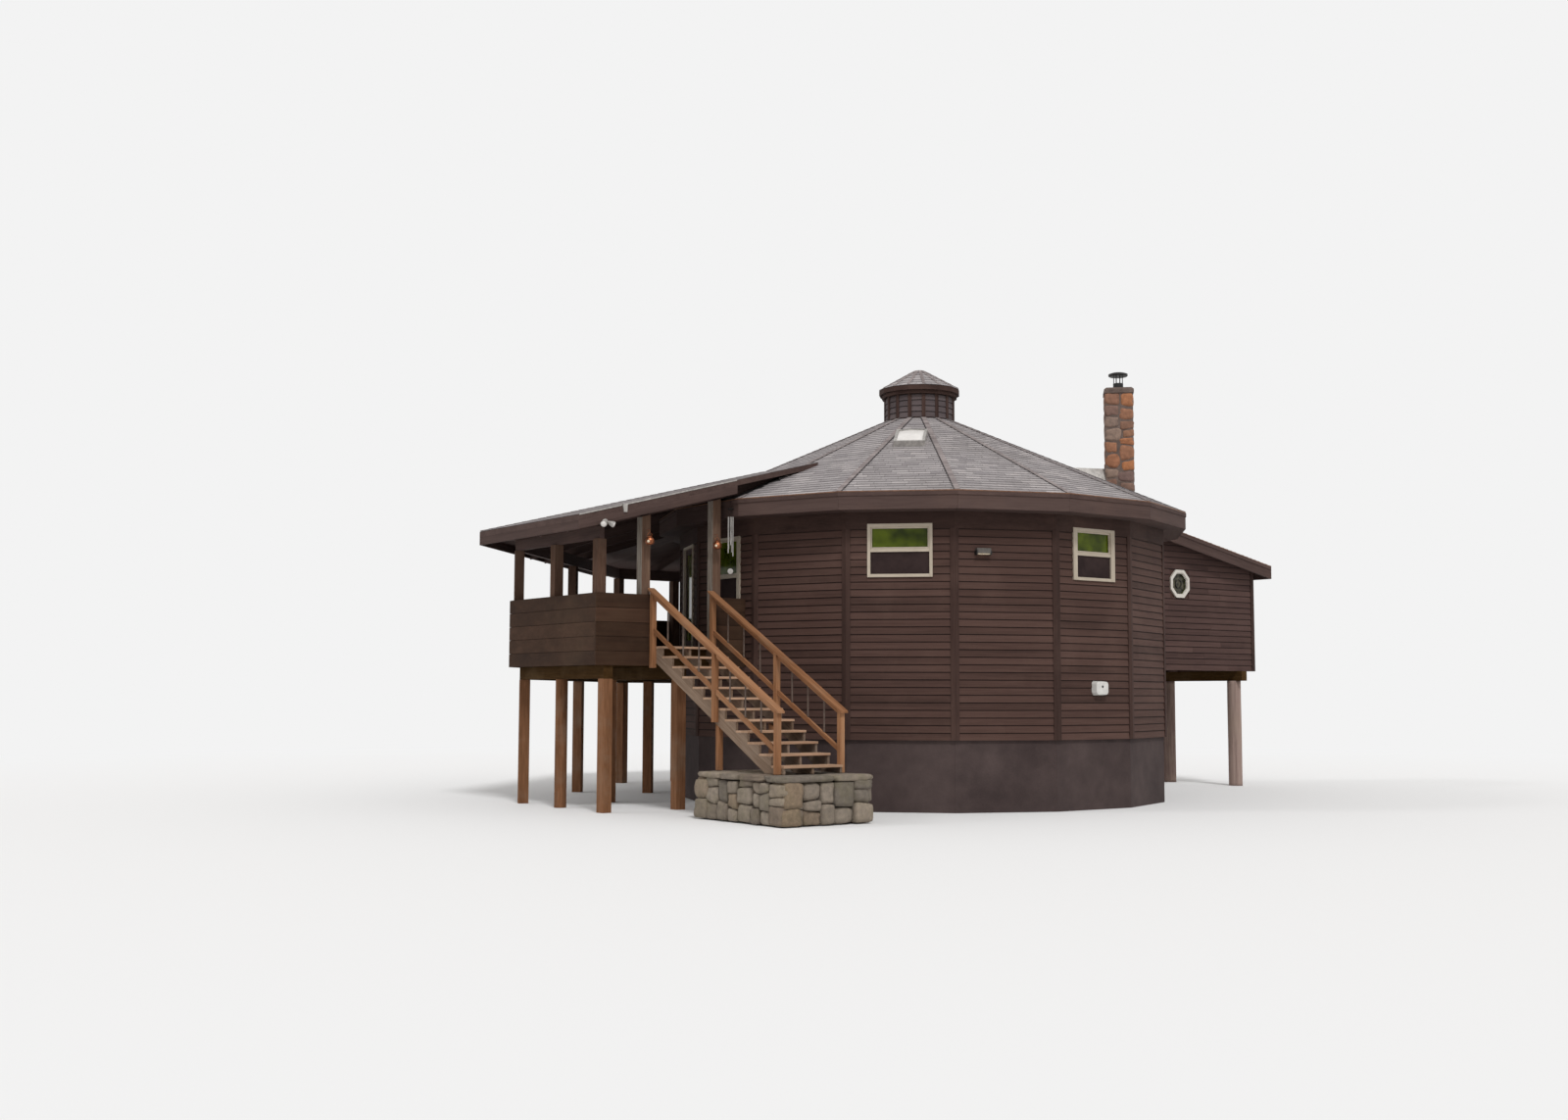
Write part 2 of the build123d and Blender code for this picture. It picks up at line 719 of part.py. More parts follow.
with BuildPart() as deck_guards:
    deck_band([
        (0, guard_bottom),
        (0, guard_top),
        (guard_thickness, guard_top),
        (guard_thickness, guard_bottom),
    ], guard_thickness + joint_gap)
    for turn, near, far in (
        (front_slant, opening_left + joint_gap, deck_reach),
        (front_slant, wall_inner, opening_right - joint_gap),
        (back_slant, wall_inner, deck_reach),
    ):
        edge = deck_end if turn == front_slant else guard_thickness - deck_end
        mitred([
            (near, guard_bottom),
            (far, guard_bottom),
            (far, guard_top),
            (near, guard_top),
        ], turn, (edge - guard_thickness, 0), (edge, 0))
    clear_house(deck_clearance)
save(deck_guards, "deck_guards")

# Porch over the deck: posts, plates, rafters, roof and fascia
post_inset = board_inset + post_size / 2
corner_post_inset = board_inset + post_size / 2 * (cos(radians(corner_turn)) + sin(radians(corner_turn)))
post_base = floor_top + seat
plate_base = plate_bottom - seat
rafter_drop = porch_thickness + seat + rafter_depth


def porch_at(inset):
    return porch_eave_height + porch_slope * (inset + porch_overhang)


def meeting(reach, drop):
    """Distance at which a line this far under the porch roof's top runs into the main roof."""
    return (roof_at(0) - porch_at(reach) + drop) / (roof_slope - porch_slope)


with BuildPart() as porch_posts:
    for hand in (1, -1):
        slant = left_turn + hand * deck_turn
        first = deck_end - post_inset
        corner_shift = mitre_offset - corner_mitre * (deck_reach - post_inset)
        column(place(slant, deck_reach - post_inset, hand * first), slant, post_size, post_base, plate_base)
        column(place(slant, deck_reach - post_inset, hand * (first + corner_shift) / 2), slant,
               post_size, post_base, plate_base)
        column(corner_point(hand, corner_post_inset), left_turn + hand * corner_turn, post_size, post_base,
               plate_base)
        for distance in end_posts:
            near = distance - post_size / 2
            far = distance + post_size / 2
            mitred([
                (near, post_base),
                (far, post_base),
                (far, porch_at(deck_reach - far) - rafter_drop - seat),
                (near, porch_at(deck_reach - near) - rafter_drop - seat),
            ], slant, (hand * first - post_size / 2, 0), (hand * first + post_size / 2, 0))
    column(place(left_turn, deck_left - post_inset), left_turn, post_size, post_base, plate_base)
save(porch_posts, "porch_posts")

plate_outer = post_inset - porch_beam_width / 2
plate_inner = post_inset + porch_beam_width / 2
with BuildPart() as porch_plates:
    deck_band([
        (plate_outer, plate_bottom),
        (plate_outer, porch_at(plate_outer) - rafter_drop - seat),
        (plate_inner, porch_at(plate_inner) - rafter_drop - seat),
        (plate_inner, plate_bottom),
    ], guard_thickness)
save(porch_plates, "porch_plates")

with BuildPart() as porch_rafters:
    for turn, (reach, left, right) in deck_sides.items():
        hand = 1 if turn == front_slant else -1
        end_shift = hand * (deck_end - post_inset)
        shifts = [end_shift - hand * rafter_spacing * step for step in range(rafter_count)]
        if turn == left_turn:
            shifts = [rafter_spacing * (step - rafter_count // 2) for step in range(rafter_count)]
        for shift in shifts:
            start = meeting(reach, porch_thickness + seat)
            for (offset, spread), side_hand in ((left, -1), (right, 1)):
                if spread:
                    start = max(start, (rafter_width - side_hand * (offset - shift)) / corner_mitre)
            near = reach - start
            far = fascia_thickness + seat - porch_overhang
            if near - far > rafter_spacing:
                mitred([
                    (start, porch_at(near) - rafter_drop),
                    (reach - far, porch_at(far) - rafter_drop),
                    (reach - far, porch_at(far) - porch_thickness - seat),
                    (start, porch_at(near) - porch_thickness - seat),
                ], turn, (shift - rafter_width / 2, 0), (shift + rafter_width / 2, 0))
    clear_roof()
save(porch_rafters, "porch_rafters")

porch_run = deck_reach - meeting(deck_reach, 0)
with BuildPart() as porch_roof:
    deck_band([
        (-porch_overhang, porch_at(-porch_overhang) - porch_thickness),
        (-porch_overhang, porch_at(-porch_overhang)),
        (porch_run, porch_at(porch_run)),
        (porch_run, porch_at(porch_run) - porch_thickness),
    ], -porch_end_overhang)
    clear_roof()
save(porch_roof, "porch_roof")

fascia_in = fascia_thickness - porch_overhang
with BuildPart() as porch_fascia:
    deck_band([
        (-porch_overhang, porch_at(-porch_overhang) - porch_fascia_depth),
        (-porch_overhang, porch_at(-porch_overhang) - porch_thickness - seat),
        (fascia_in, porch_at(fascia_in) - porch_thickness - seat),
        (fascia_in, porch_at(-porch_overhang) - porch_fascia_depth),
    ], fascia_thickness + joint_gap - porch_end_overhang)
    for turn, edge in ((front_slant, deck_end + porch_end_overhang),
                       (back_slant, fascia_thickness - deck_end - porch_end_overhang)):
        mitred([
            (eave_distance, porch_at(deck_reach - eave_distance) - porch_fascia_depth),
            (deck_reach + porch_overhang, porch_at(-porch_overhang) - porch_fascia_depth),
            (deck_reach + porch_overhang, porch_at(-porch_overhang) - porch_thickness - seat),
            (eave_distance, porch_at(deck_reach - eave_distance) - porch_thickness - seat),
        ], turn, (edge - fascia_thickness, 0), (edge, 0))
    clear_roof()
save(porch_fascia, "porch_fascia")

# Stair, drawn on a plane that runs down from the deck's end
stair_side = Plane(origin=place(front_slant, 0, deck_end), x_dir=along(front_slant),
                   z_dir=outward(front_slant))
tread_left, tread_right = (deck_reach - share * deck_depth for share in stair_shares)
pitch = riser_height / step_run
lowest_nosing = first_nosing + risers * step_run


def nosing_line(station):
    return floor_top - pitch * (station - first_nosing)


def stair_panel(profile, distance, width):
    """A (station, height) profile standing along the stair."""
    with BuildSketch(stair_side.offset(distance)) as panel:
        with BuildLine():
            Polyline(*profile, close=True)
        make_face()
    extrude(panel.sketch, amount=width)


tread_under = tread_thickness + seat
teeth = [(seat, floor_top - tread_under)]
for step in range(risers + 1):
    cut = first_nosing - tread_nosing + step * step_run
    teeth.append((cut, floor_top - tread_under - step * riser_height))
    if step < risers:
        teeth.append((cut, floor_top - tread_under - (step + 1) * riser_height))
lower_edge = tread_under + riser_height - pitch * tread_nosing + stringer_depth * hypot(1, pitch)
foot_station = first_nosing + (floor_top - lower_edge - base_top - seat) / pitch
stringer_profile = teeth + [
    (lowest_nosing - tread_nosing, base_top + seat),
    (foot_station, base_top + seat),
    (seat, nosing_line(seat) - lower_edge),
]
stair_middle = (tread_left + tread_right) / 2
with BuildPart() as stair_stringers:
    for distance in (tread_right, stair_middle - stringer_width / 2, tread_left - stringer_width):
        stair_panel(stringer_profile, distance, stringer_width)
save(stair_stringers, "stair_stringers")

with BuildPart() as stair_treads:
    for step in range(risers + 1):
        front = first_nosing + step * step_run
        top = floor_top - step * riser_height
        back = front - step_run - tread_nosing + joint_gap
        if step == 0:
            back = joint_gap - guard_thickness
        stair_panel([
            (back, top - tread_thickness),
            (front, top - tread_thickness),
            (front, top),
            (back, top),
        ], tread_right, tread_left - tread_right)
save(stair_treads, "stair_treads")

newel_half = newel_size / 2
newel_feet = [nosing_line(station) - drop for station, drop in zip(newel_stations, newel_drops)]
newel_feet.append(base_top + seat)
newel_sides = (tread_right - seat - newel_size, tread_left + seat)
rail_under = rail_thickness + seat
with BuildPart() as stair_newels:
    for station, foot in zip(newel_stations, newel_feet):
        head = rail_height - rail_under
        for distance in newel_sides:
            stair_panel([
                (station - newel_half, foot),
                (station + newel_half, foot),
                (station + newel_half, nosing_line(station + newel_half) + head),
                (station - newel_half, nosing_line(station - newel_half) + head),
            ], distance, newel_size)
    middle_station = newel_stations[1]
    for distance in (tread_right, tread_left - newel_size):
        stair_panel([
            (middle_station - newel_half, base_top + seat),
            (middle_station + newel_half, base_top + seat),
            (middle_station + newel_half, nosing_line(middle_station + newel_half) - lower_edge - seat),
            (middle_station - newel_half, nosing_line(middle_station - newel_half) - lower_edge - seat),
        ], distance, newel_size)
save(stair_newels, "stair_newels")


def sloped_bar(start, end, height, depth, distance, width):
    """A bar along the pitch, its top a set height over the nosings."""
    stair_panel([
        (start, nosing_line(start) + height - depth),
        (end, nosing_line(end) + height - depth),
        (end, nosing_line(end) + height),
        (start, nosing_line(start) + height),
    ], distance, width)


rail_bays = list(zip(newel_stations, newel_stations[1:]))
with BuildPart() as stair_rails:
    for side in newel_sides:
        middle = side + newel_half
        sloped_bar(0, rail_end, rail_height, rail_thickness, middle - rail_width / 2, rail_width)
        for start, end in rail_bays:
            for height in (rail_height - rail_under, low_rail_height):
                sloped_bar(start + newel_half + seat, end - newel_half - seat, height, low_rail_depth,
                           middle - low_rail_width / 2, low_rail_width)
save(stair_rails, "stair_rails")

with BuildPart() as stair_balusters:
    for side in newel_sides:
        for start, end in rail_bays:
            spacing = (end - start) / (balusters_per_bay + 1)
            for number in range(1, balusters_per_bay + 1):
                station = start + number * spacing
                reach_down = low_rail_height + pitch * baluster_radius + seat
                reach_up = rail_height - rail_under - low_rail_depth - pitch * baluster_radius - seat
                foot = place(front_slant, side + newel_half, deck_end + station,
                             nosing_line(station) + reach_down)
                with BuildSketch(Plane(origin=foot, z_dir=(0, 0, 1))) as rod:
                    RegularPolygon(baluster_radius, 8)
                extrude(rod.sketch, amount=reach_up - reach_down)
save(stair_balusters, "stair_balusters")

with BuildPart() as stair_base:
    stair_panel([
        (base_start, 0),
        (base_end, 0),
        (base_end, base_top),
        (base_start, base_top),
    ], tread_right - base_side, tread_left - tread_right + 2 * base_side)
save(stair_base, "stair_base")
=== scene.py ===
import bmesh
import bpy
import random
from math import ceil, cos, floor, hypot, pi, radians, sin, tan
from mathutils import Matrix, Vector, noise


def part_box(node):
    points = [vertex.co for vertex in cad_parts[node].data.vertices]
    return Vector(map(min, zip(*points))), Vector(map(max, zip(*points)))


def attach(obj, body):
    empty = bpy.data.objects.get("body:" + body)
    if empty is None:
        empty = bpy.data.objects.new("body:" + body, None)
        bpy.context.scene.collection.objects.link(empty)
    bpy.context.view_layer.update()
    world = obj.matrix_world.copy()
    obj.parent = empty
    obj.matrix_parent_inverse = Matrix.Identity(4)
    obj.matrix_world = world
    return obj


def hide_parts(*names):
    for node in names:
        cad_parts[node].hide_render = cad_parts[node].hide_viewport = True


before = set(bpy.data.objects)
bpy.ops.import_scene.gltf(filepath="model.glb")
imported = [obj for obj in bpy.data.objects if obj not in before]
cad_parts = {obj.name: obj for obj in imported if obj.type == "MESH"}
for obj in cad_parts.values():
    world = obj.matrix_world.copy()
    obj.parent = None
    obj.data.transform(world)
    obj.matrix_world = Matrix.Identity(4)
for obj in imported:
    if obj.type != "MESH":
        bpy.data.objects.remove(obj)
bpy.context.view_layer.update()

scene = bpy.context.scene
scene.view_settings.view_transform = "Standard"
dice = random.Random(16)
up = Vector((0, 0, 1))


# A turn is an angle about +Z from the front, -Y. Distances run out from the middle of the house.
def outward(turn):
    return Vector((sin(radians(turn)), -cos(radians(turn)), 0))


def along(turn):
    return Vector((cos(radians(turn)), sin(radians(turn)), 0))


def place(turn, distance, shift=0.0, height=0.0):
    return outward(turn) * distance + along(turn) * shift + up * height


def atHeight(spot, height):
    return Vector((spot.x, spot.y, height))


def rectangle(start, end, low, high):
    # Its four corners as pairs
    return (start, low), (end, low), (end, high), (start, high)


house = {
    "sides": 16,
    "wallFace": -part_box("front_wall")[0].y,
    "wallFoot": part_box("foundation")[1].z,
    "eaveFace": -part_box("eave_fascia")[0].y,
    "eaveTop": 5.576,
    "eaveFoot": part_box("eave_fascia")[0].z,
    "roofSlope": 0.452,
    "floorTop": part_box("main_floor")[1].z,
}
mitre = tan(radians(180 / house["sides"]))
sideTurns = [360 / house["sides"] * number for number in range(house["sides"])]

deckDepth = 3.154
deck = {
    "reach": house["wallFace"] + deckDepth,  # to the faces of the two slanting sides
    "left": -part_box("deck_floor")[0].x + 0.0403,
    "end": 0.667,
    "turn": 45,
    "stairPosts": (0.3235, 0.799),  # parts of the depth, from the outside
    "postHalf": 0.0875,
}
deckMitre = tan(radians(deck["turn"] / 2))
slantCorner = (deck["left"] - deck["reach"] * cos(radians(deck["turn"]))) / sin(radians(deck["turn"]))
mitreOffset = deckMitre * deck["reach"] - slantCorner
stairPosts = [deck["reach"] - part * deckDepth for part in deck["stairPosts"]]

wingEnd = house["wallFace"] + 4.374
wing = {
    "turn": 135,
    "half": 1.13,
    "end": wingEnd,
    "foot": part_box("wing_front_wall")[0].z,
    "roofEnd": wingEnd + 0.34,
    "roofHeight": 5.037,
    "roofSlope": 0.196,
    "roofHalf": 1.43,
    "roofThick": 0.11,
}


# Piles: many small solids gathered into one piece, each solid with its own grain and tone
def startPile():
    return {"points": [], "faces": [], "grain": [], "tone": []}


def addPoint(pile, point, grain, tone):
    pile["points"].append(point)
    pile["grain"].append(grain)
    pile["tone"].append(tone)


def strayGrain():
    return Vector((dice.uniform(0, 40), dice.uniform(0, 9), dice.uniform(0, 9)))


def addBlock(pile, ends, tone=None):
    # Its ends are two outlines, and its grain runs from the first to the second
    tone = dice.random() if tone is None else tone
    near, far = ends
    count = len(near)
    first = len(pile["points"])
    start = sum(near, Vector()) / count
    axis = (sum(far, Vector()) / count - start).normalized()
    side = (near[1] - near[0]).normalized()
    rise = axis.cross(side)
    stray = strayGrain()
    for point in [*near, *far]:
        gap = point - start
        addPoint(pile, point, Vector((gap.dot(axis), gap.dot(side), gap.dot(rise))) + stray, tone)
    pile["faces"].append([first + step for step in reversed(range(count))])
    pile["faces"].append([first + count + step for step in range(count)])
    for step in range(count):
        after = (step + 1) % count
        pile["faces"].append([first + step, first + after, first + count + after, first + count + step])


def extrude(pile, outline, by, tone=None):
    addBlock(pile, (outline, [point + by for point in outline]), tone)


def addTube(pile, path, radius, steps, tone):
    for start, end in zip(path, path[1:]):
        axis = (end - start).normalized()
        side = axis.orthogonal().normalized()
        other = axis.cross(side)
        rim = [(side * cos(2 * pi * step / steps) + other * sin(2 * pi * step / steps)) * radius
               for step in range(steps)]
        addBlock(pile, [[spot + point for point in rim] for spot in (start, end)], tone)


def closeRings(pile, first, rings, steps):
    # The walls between rings of points, and the two ends
    for ring in range(rings - 1):
        low = first + ring * steps
        for step in range(steps):
            after = (step + 1) % steps
            pile["faces"].append([low + step, low + after, low + steps + after, low + steps + step])
    pile["faces"].append([first + step for step in reversed(range(steps))])
    pile["faces"].append([first + (rings - 1) * steps + step for step in range(steps)])


def addTurned(pile, foot, profile, steps, tone, axis=up):
    # A turned form: (radius, height) pairs about an axis, closed at both ends
    first = len(pile["points"])
    side = axis.orthogonal().normalized()
    other = axis.cross(side)
    for radius, height in profile:
        for step in range(steps):
            angle = 2 * pi * step / steps
            addPoint(pile, foot + axis * height + (side * cos(angle) + other * sin(angle)) * radius,
                     Vector((height, radius * angle, radius)), tone)
    closeRings(pile, first, len(profile), steps)


def stonePattern(cuts):
    form = bmesh.new()
    bmesh.ops.create_cube(form, size=2)
    bmesh.ops.subdivide_edges(form, edges=form.edges[:], cuts=cuts, use_grid_fill=True)
    form.verts.index_update()
    points = [vert.co.copy() for vert in form.verts]
    faces = [[vert.index for vert in face.verts] for face in form.faces]
    form.free()
    return points, faces


stoneShape = {"cuts": 4, "lumps": 0.09, "lumpSize": 1.2}
stonePoints, stoneFaces = stonePattern(stoneShape["cuts"])


def addStone(pile, spotAt, roundness):
    # A rounded, lumpy block: spotAt takes a point of a cube from -1 to 1 to its place
    tone = dice.random()
    first = len(pile["points"])
    stray = Vector((dice.uniform(0, 50), dice.uniform(0, 50), dice.uniform(0, 50)))
    for point in stonePoints:
        reach = sum(abs(value) ** roundness for value in point) ** (1 / roundness)
        lump = 1 + stoneShape["lumps"] * noise.noise(point * stoneShape["lumpSize"] + stray)
        spot = spotAt(point * (lump / reach))
        addPoint(pile, spot, spot + stray, tone)
    for face in stoneFaces:
        pile["faces"].append([first + corner for corner in face])


def bedded(corner, across, inward, low, high):
    # The place of a stone between two uneven beds, each a height and its tilts across and inward
    def spotAt(point):
        u, v, w = ((value + 1) / 2 for value in point)
        lowHere = low[0] + low[1] * u + low[2] * v
        highHere = high[0] + high[1] * u + high[2] * v
        return corner + across * u + inward * v + up * (lowHere + (highHere - lowHere) * w)
    return spotAt


def stoneBeds(foot, top, look):
    # The beds under and over each stone of a stack, drawn as the stones are laid
    bed = (foot, 0, 0)
    last = False
    while not last:
        tall = dice.uniform(*look["rows"])
        last = bed[0] + tall > top - look["leastTop"]
        tilts = [dice.uniform(-1, 1) * look["tilt"] for axis in range(2)]
        sunk = dice.uniform(0, look["sunk"]) if last and look["sunk"] else 0
        nextBed = (top - sunk, 0, 0) if last else (bed[0] + tall, *tilts)
        yield bed, nextBed
        bed = nextBed


def lengthsOf(start, end, bounds):
    # Uneven lengths that fill the way from start to end, each with its own start
    while start < end - 0.02:
        long = dice.uniform(*bounds)
        if end - start - long < bounds[0]:
            long = end - start
        yield start, long
        start += long


def finishPile(pile, name, material, slot, stands=(), bevel=0.0, smooth=False):
    mesh = bpy.data.meshes.new(name)
    mesh.from_pydata(pile["points"], [], pile["faces"])
    form = bmesh.new()
    form.from_mesh(mesh)
    bmesh.ops.recalc_face_normals(form, faces=form.faces)
    form.to_mesh(mesh)
    form.free()
    grain = mesh.attributes.new("grain", "FLOAT_VECTOR", "POINT")
    grain.data.foreach_set("vector", [value for spot in pile["grain"] for value in spot])
    tone = mesh.attributes.new("tone", "FLOAT", "POINT")
    tone.data.foreach_set("value", pile["tone"])
    return fitPiece(mesh, name, material, slot, stands, bevel, smooth)


def fitPiece(mesh, name, material, slot, stands, bevel, smooth=False):
    mesh.polygons.foreach_set("use_smooth", [smooth] * len(mesh.polygons))
    mesh.materials.clear()
    mesh.materials.append(material)
    piece = bpy.data.objects.new(name, mesh)
    scene.collection.objects.link(piece)
    if bevel:
        edge = piece.modifiers.new("worn edges", "BEVEL")
        edge.width = bevel
        edge.segments = 2
        edge.limit_method = "ANGLE"
        edge.angle_limit = radians(35)
    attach(piece, "root")
    if stands:
        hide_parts(*stands)
    return piece


def dressLumber(node, material, slot, toneAt=None):
    # Takes a node's solids as they are and gives each its own grain, tone and eased edges
    form = bmesh.new()
    form.from_mesh(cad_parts[node].data)
    bmesh.ops.remove_doubles(form, verts=form.verts, dist=0.00002)
    bmesh.ops.dissolve_limit(form, angle_limit=radians(1), verts=form.verts, edges=form.edges)
    grainLayer = form.verts.layers.float_vector.new("grain")
    toneLayer = form.verts.layers.float.new("tone")
    seen = set()
    for vert in form.verts:
        if vert in seen:
            continue
        seen.add(vert)
        solid = [vert]
        for point in solid:
            for edge in point.link_edges:
                other = edge.other_vert(point)
                if other not in seen:
                    seen.add(other)
                    solid.append(other)
        # Edges in their own order, so that a tie falls the same way each run
        edges = [edge for point in solid for edge in point.link_edges]
        longest = max(edges, key=lambda edge: edge.calc_length())
        axis = (longest.verts[1].co - longest.verts[0].co).normalized()
        side = axis.orthogonal().normalized() if abs(axis.z) > 0.99 else axis.cross(up).normalized()
        rise = axis.cross(side)
        stray = strayGrain()
        centre = sum((point.co for point in solid), Vector()) / len(solid)
        tone = toneAt(centre) if toneAt else dice.random()
        for point in solid:
            point[grainLayer] = Vector((point.co.dot(axis), point.co.dot(side), point.co.dot(rise))) + stray
            point[toneLayer] = tone
    mesh = bpy.data.meshes.new("dressed_" + node)
    form.to_mesh(mesh)
    form.free()
    fitPiece(mesh, "dressed_" + node, material, slot, (node,), 0.004)


# Materials. An owner is a material or the world, and a source is a value or another node's output.
def setInputs(owner, node, sources):
    for key, value in sources.items():
        if hasattr(value, "is_output"):
            owner.node_tree.links.new(value, node.inputs[key])
        else:
            node.inputs[key].default_value = value


def addNode(owner, kind, sources=None, **settings):
    node = owner.node_tree.nodes.new(kind)
    for key, value in settings.items():
        setattr(node, key, value)
    setInputs(owner, node, sources or {})
    return node


def setShader(material, sources):
    setInputs(material, material.node_tree.nodes["Principled BSDF"], sources)


def startMaterial(name, roughness, sheen=0.35, metallic=0.0):
    material = bpy.data.materials.new(name)
    material.use_nodes = True
    setShader(material, {"Roughness": roughness, "Metallic": metallic, "Specular IOR Level": sheen})
    return material


def finishMaterial(material, colour, height, strength, distance):
    bump = addNode(material, "ShaderNodeBump", {"Height": height, "Strength": strength, "Distance": distance})
    setShader(material, {"Base Color": colour, "Normal": bump.outputs["Normal"]})
    return material


def tint(red, green, blue):
    # Screen colour, 0 to 255, to the linear colour that a shader takes
    return tuple(value / 255 / 12.92 if value < 11 else ((value / 255 + 0.055) / 1.055) ** 2.4
                 for value in (red, green, blue)) + (1.0,)


def grey(value):
    return value, value, value, 1


def addRamp(owner, factor, stops):
    ramp = addNode(owner, "ShaderNodeValToRGB", {"Fac": factor})
    band = ramp.color_ramp
    while len(band.elements) < len(stops):
        band.elements.new(0.5)
    for element, (position, colour) in zip(band.elements, stops):
        element.position = position
        element.color = colour
    return ramp.outputs["Color"]


def mathOf(owner, operation, first, second):
    return addNode(owner, "ShaderNodeMath", {0: first, 1: second}, operation=operation).outputs[0]


def mixOf(owner, factor, first, second, blend="MIX"):
    return addNode(owner, "ShaderNodeMix", {0: factor, 6: first, 7: second}, data_type="RGBA",
                   blend_type=blend).outputs[2]


def noiseOf(owner, vector, scale, detail=4.0, roughness=0.55):
    return addNode(owner, "ShaderNodeTexNoise", {"Vector": vector, "Scale": scale, "Detail": detail,
                                                 "Roughness": roughness}).outputs["Fac"]


def spotOf(material):
    return addNode(material, "ShaderNodeTexCoord").outputs["Object"]


def attributeOf(material, name, output):
    return addNode(material, "ShaderNodeAttribute", attribute_name=name).outputs[output]


def grainAndTone(material, look, spot, patch):
    # A piece's own grain and tone, or the spot and a soft noise where it has none
    if look.get("own", True):
        return attributeOf(material, "grain", "Vector"), attributeOf(material, "tone", "Fac")
    return spot, noiseOf(material, spot, patch)


def addPaintedCourseShade(material, colour, grain, tone, courseShade):
    # Painted shade: darkens each board or tab just under the foot of the next, where that course casts its
    # shadow;
    # the third part of its grain runs from foot to head
    if not courseShade:
        return colour
    height = addNode(material, "ShaderNodeSeparateXYZ", {"Vector": grain}).outputs["Z"]
    shade = addRamp(material, mathOf(material, "DIVIDE", height, courseShade["to"]),
                    [(courseShade["from"] / courseShade["to"], grey(1)), (1.0, grey(courseShade["shade"]))])
    dark = mixOf(material, 1.0, colour, shade, "MULTIPLY")
    amount = mathOf(material, "MULTIPLY", tone, courseShade["uneven"])
    return mixOf(material, mathOf(material, "ADD", amount, 1 - courseShade["uneven"]), colour, dark)


def woodFinish(name, look):
    # Stained or bare boards: fibres along the grain, a tone to each board, and weathering in patches
    material = startMaterial(name, look["roughness"], look["sheen"])
    spot = spotOf(material)
    grain, tone = grainAndTone(material, look, spot, 1.5)
    stretched = addNode(material, "ShaderNodeMapping",
                        {"Vector": grain, "Scale": (look["length"], 1.0, 1.0)}).outputs[0]
    fibres = noiseOf(material, stretched, look["fibre"], 6.0, 0.65)
    figure = noiseOf(material, stretched, look["fibre"] * 0.18, 3.0, 0.5)
    spread = 0.0
    for part, weight in ((fibres, look["contrast"]), (figure, look["figure"]), (tone, look["tones"])):
        spread = mathOf(material, "ADD", spread, mathOf(material, "MULTIPLY", part, weight))
    spread = mathOf(material, "DIVIDE", spread, look["contrast"] + look["figure"] + look["tones"])
    colour = addRamp(material, spread, [(position, tint(*look[part])) for position, part in (
        (0.28, "dark"), (0.5, "middle"), (0.75, "light"))])
    patches = noiseOf(material, spot, look["patch"], 4.0, 0.6)
    worn = addRamp(material, patches, [(0.5, grey(0)), (0.72, grey(look["worn"]))])
    colour = mixOf(material, worn, colour, tint(*look["wornTo"]))
    if "weatherTurn" in look:
        # Where the tone is 1, the faces turned to the weather are bleached
        normal = addNode(material, "ShaderNodeTexCoord").outputs["Normal"]
        facing = addNode(material, "ShaderNodeVectorMath", {0: normal, 1: outward(look["weatherTurn"])},
                         operation="DOT_PRODUCT").outputs["Value"]
        bleached = mathOf(material, "MULTIPLY", mathOf(material, "GREATER_THAN", facing, 0.7),
                          mathOf(material, "GREATER_THAN", tone, 0.99))
        pale = addRamp(material, fibres, [(0.3, tint(*look["middle"])), (0.55, tint(*look["weatherTo"]))])
        colour = mixOf(material, bleached, colour, pale)
    # Painted shade under the foot of each next course, where the look has one
    colour = addPaintedCourseShade(material, colour, grain, tone, look.get("courseShade"))
    return finishMaterial(material, colour, fibres, look["bump"], 0.003)


def grainyFinish(name, look):
    # Stone, mortar, concrete and shingle grit: a tone to each solid, mottled and rough
    material = startMaterial(name, look["roughness"])
    spot = spotOf(material)
    grain, tone = grainAndTone(material, look, spot, look["patch"])
    mottle = noiseOf(material, grain, look["mottle"], 5.0, 0.6)
    grit = noiseOf(material, grain, look["grit"], 3.0, 0.7)
    colour = addRamp(material, tone, [(position, tint(*shade)) for position, shade in look["tones"]])
    for factor, stops in ((mottle, [(0.3, (*look["low"], 1)), (0.7, (*look["high"], 1))]),
                          (grit, [(0.35, grey(look["gritLow"])), (0.65, grey(1.1))])):
        colour = mixOf(material, 1.0, colour, addRamp(material, factor, stops), "MULTIPLY")
    if "stain" in look:
        wash = noiseOf(material, spot, look["stainSize"], 4.0, 0.6)
        amount = addRamp(material, wash, [(0.48, grey(0)), (0.7, grey(look["stainAmount"]))])
        colour = mixOf(material, amount, colour, tint(*look["stain"]))
    # Painted shade under the foot of each next course, where the look has one
    colour = addPaintedCourseShade(material, colour, grain, tone, look.get("courseShade"))
    height = mathOf(material, "ADD", mottle, mathOf(material, "MULTIPLY", grit, 0.5))
    return finishMaterial(material, colour, height, look["bump"], look["bumpDepth"])


def blotched(material, look, scale, detail, roughness):
    # Faint blotches between a dark and a light colour, and their noise
    noiseHere = noiseOf(material, spotOf(material), scale, detail, roughness)
    colour = addRamp(material, noiseHere, [(0.35, tint(*look["dark"])), (0.65, tint(*look["light"]))])
    return colour, noiseHere


def metalFinish(name, look):
    # Sheet metal and painted fittings
    material = startMaterial(name, look["roughness"], look["sheen"], look["metallic"])
    colour, blotch = blotched(material, look, look["blotch"], 5.0, 0.6)
    uneven = addNode(material, "ShaderNodeMapRange", {
        "Value": blotch, "To Min": look["roughness"] - 0.08, "To Max": look["roughness"] + 0.12})
    setShader(material, {"Roughness": uneven.outputs[0]})
    return finishMaterial(material, colour, blotch, 0.15, 0.001)


def glassFinish(name, look):
    material = startMaterial(name, look["roughness"], look["sheen"])
    colour, wave = blotched(material, look, look["wave"], 2.0, 0.5)
    setShader(material, {"Alpha": look["alpha"]})
    return finishMaterial(material, colour, wave, 0.05, 0.002)


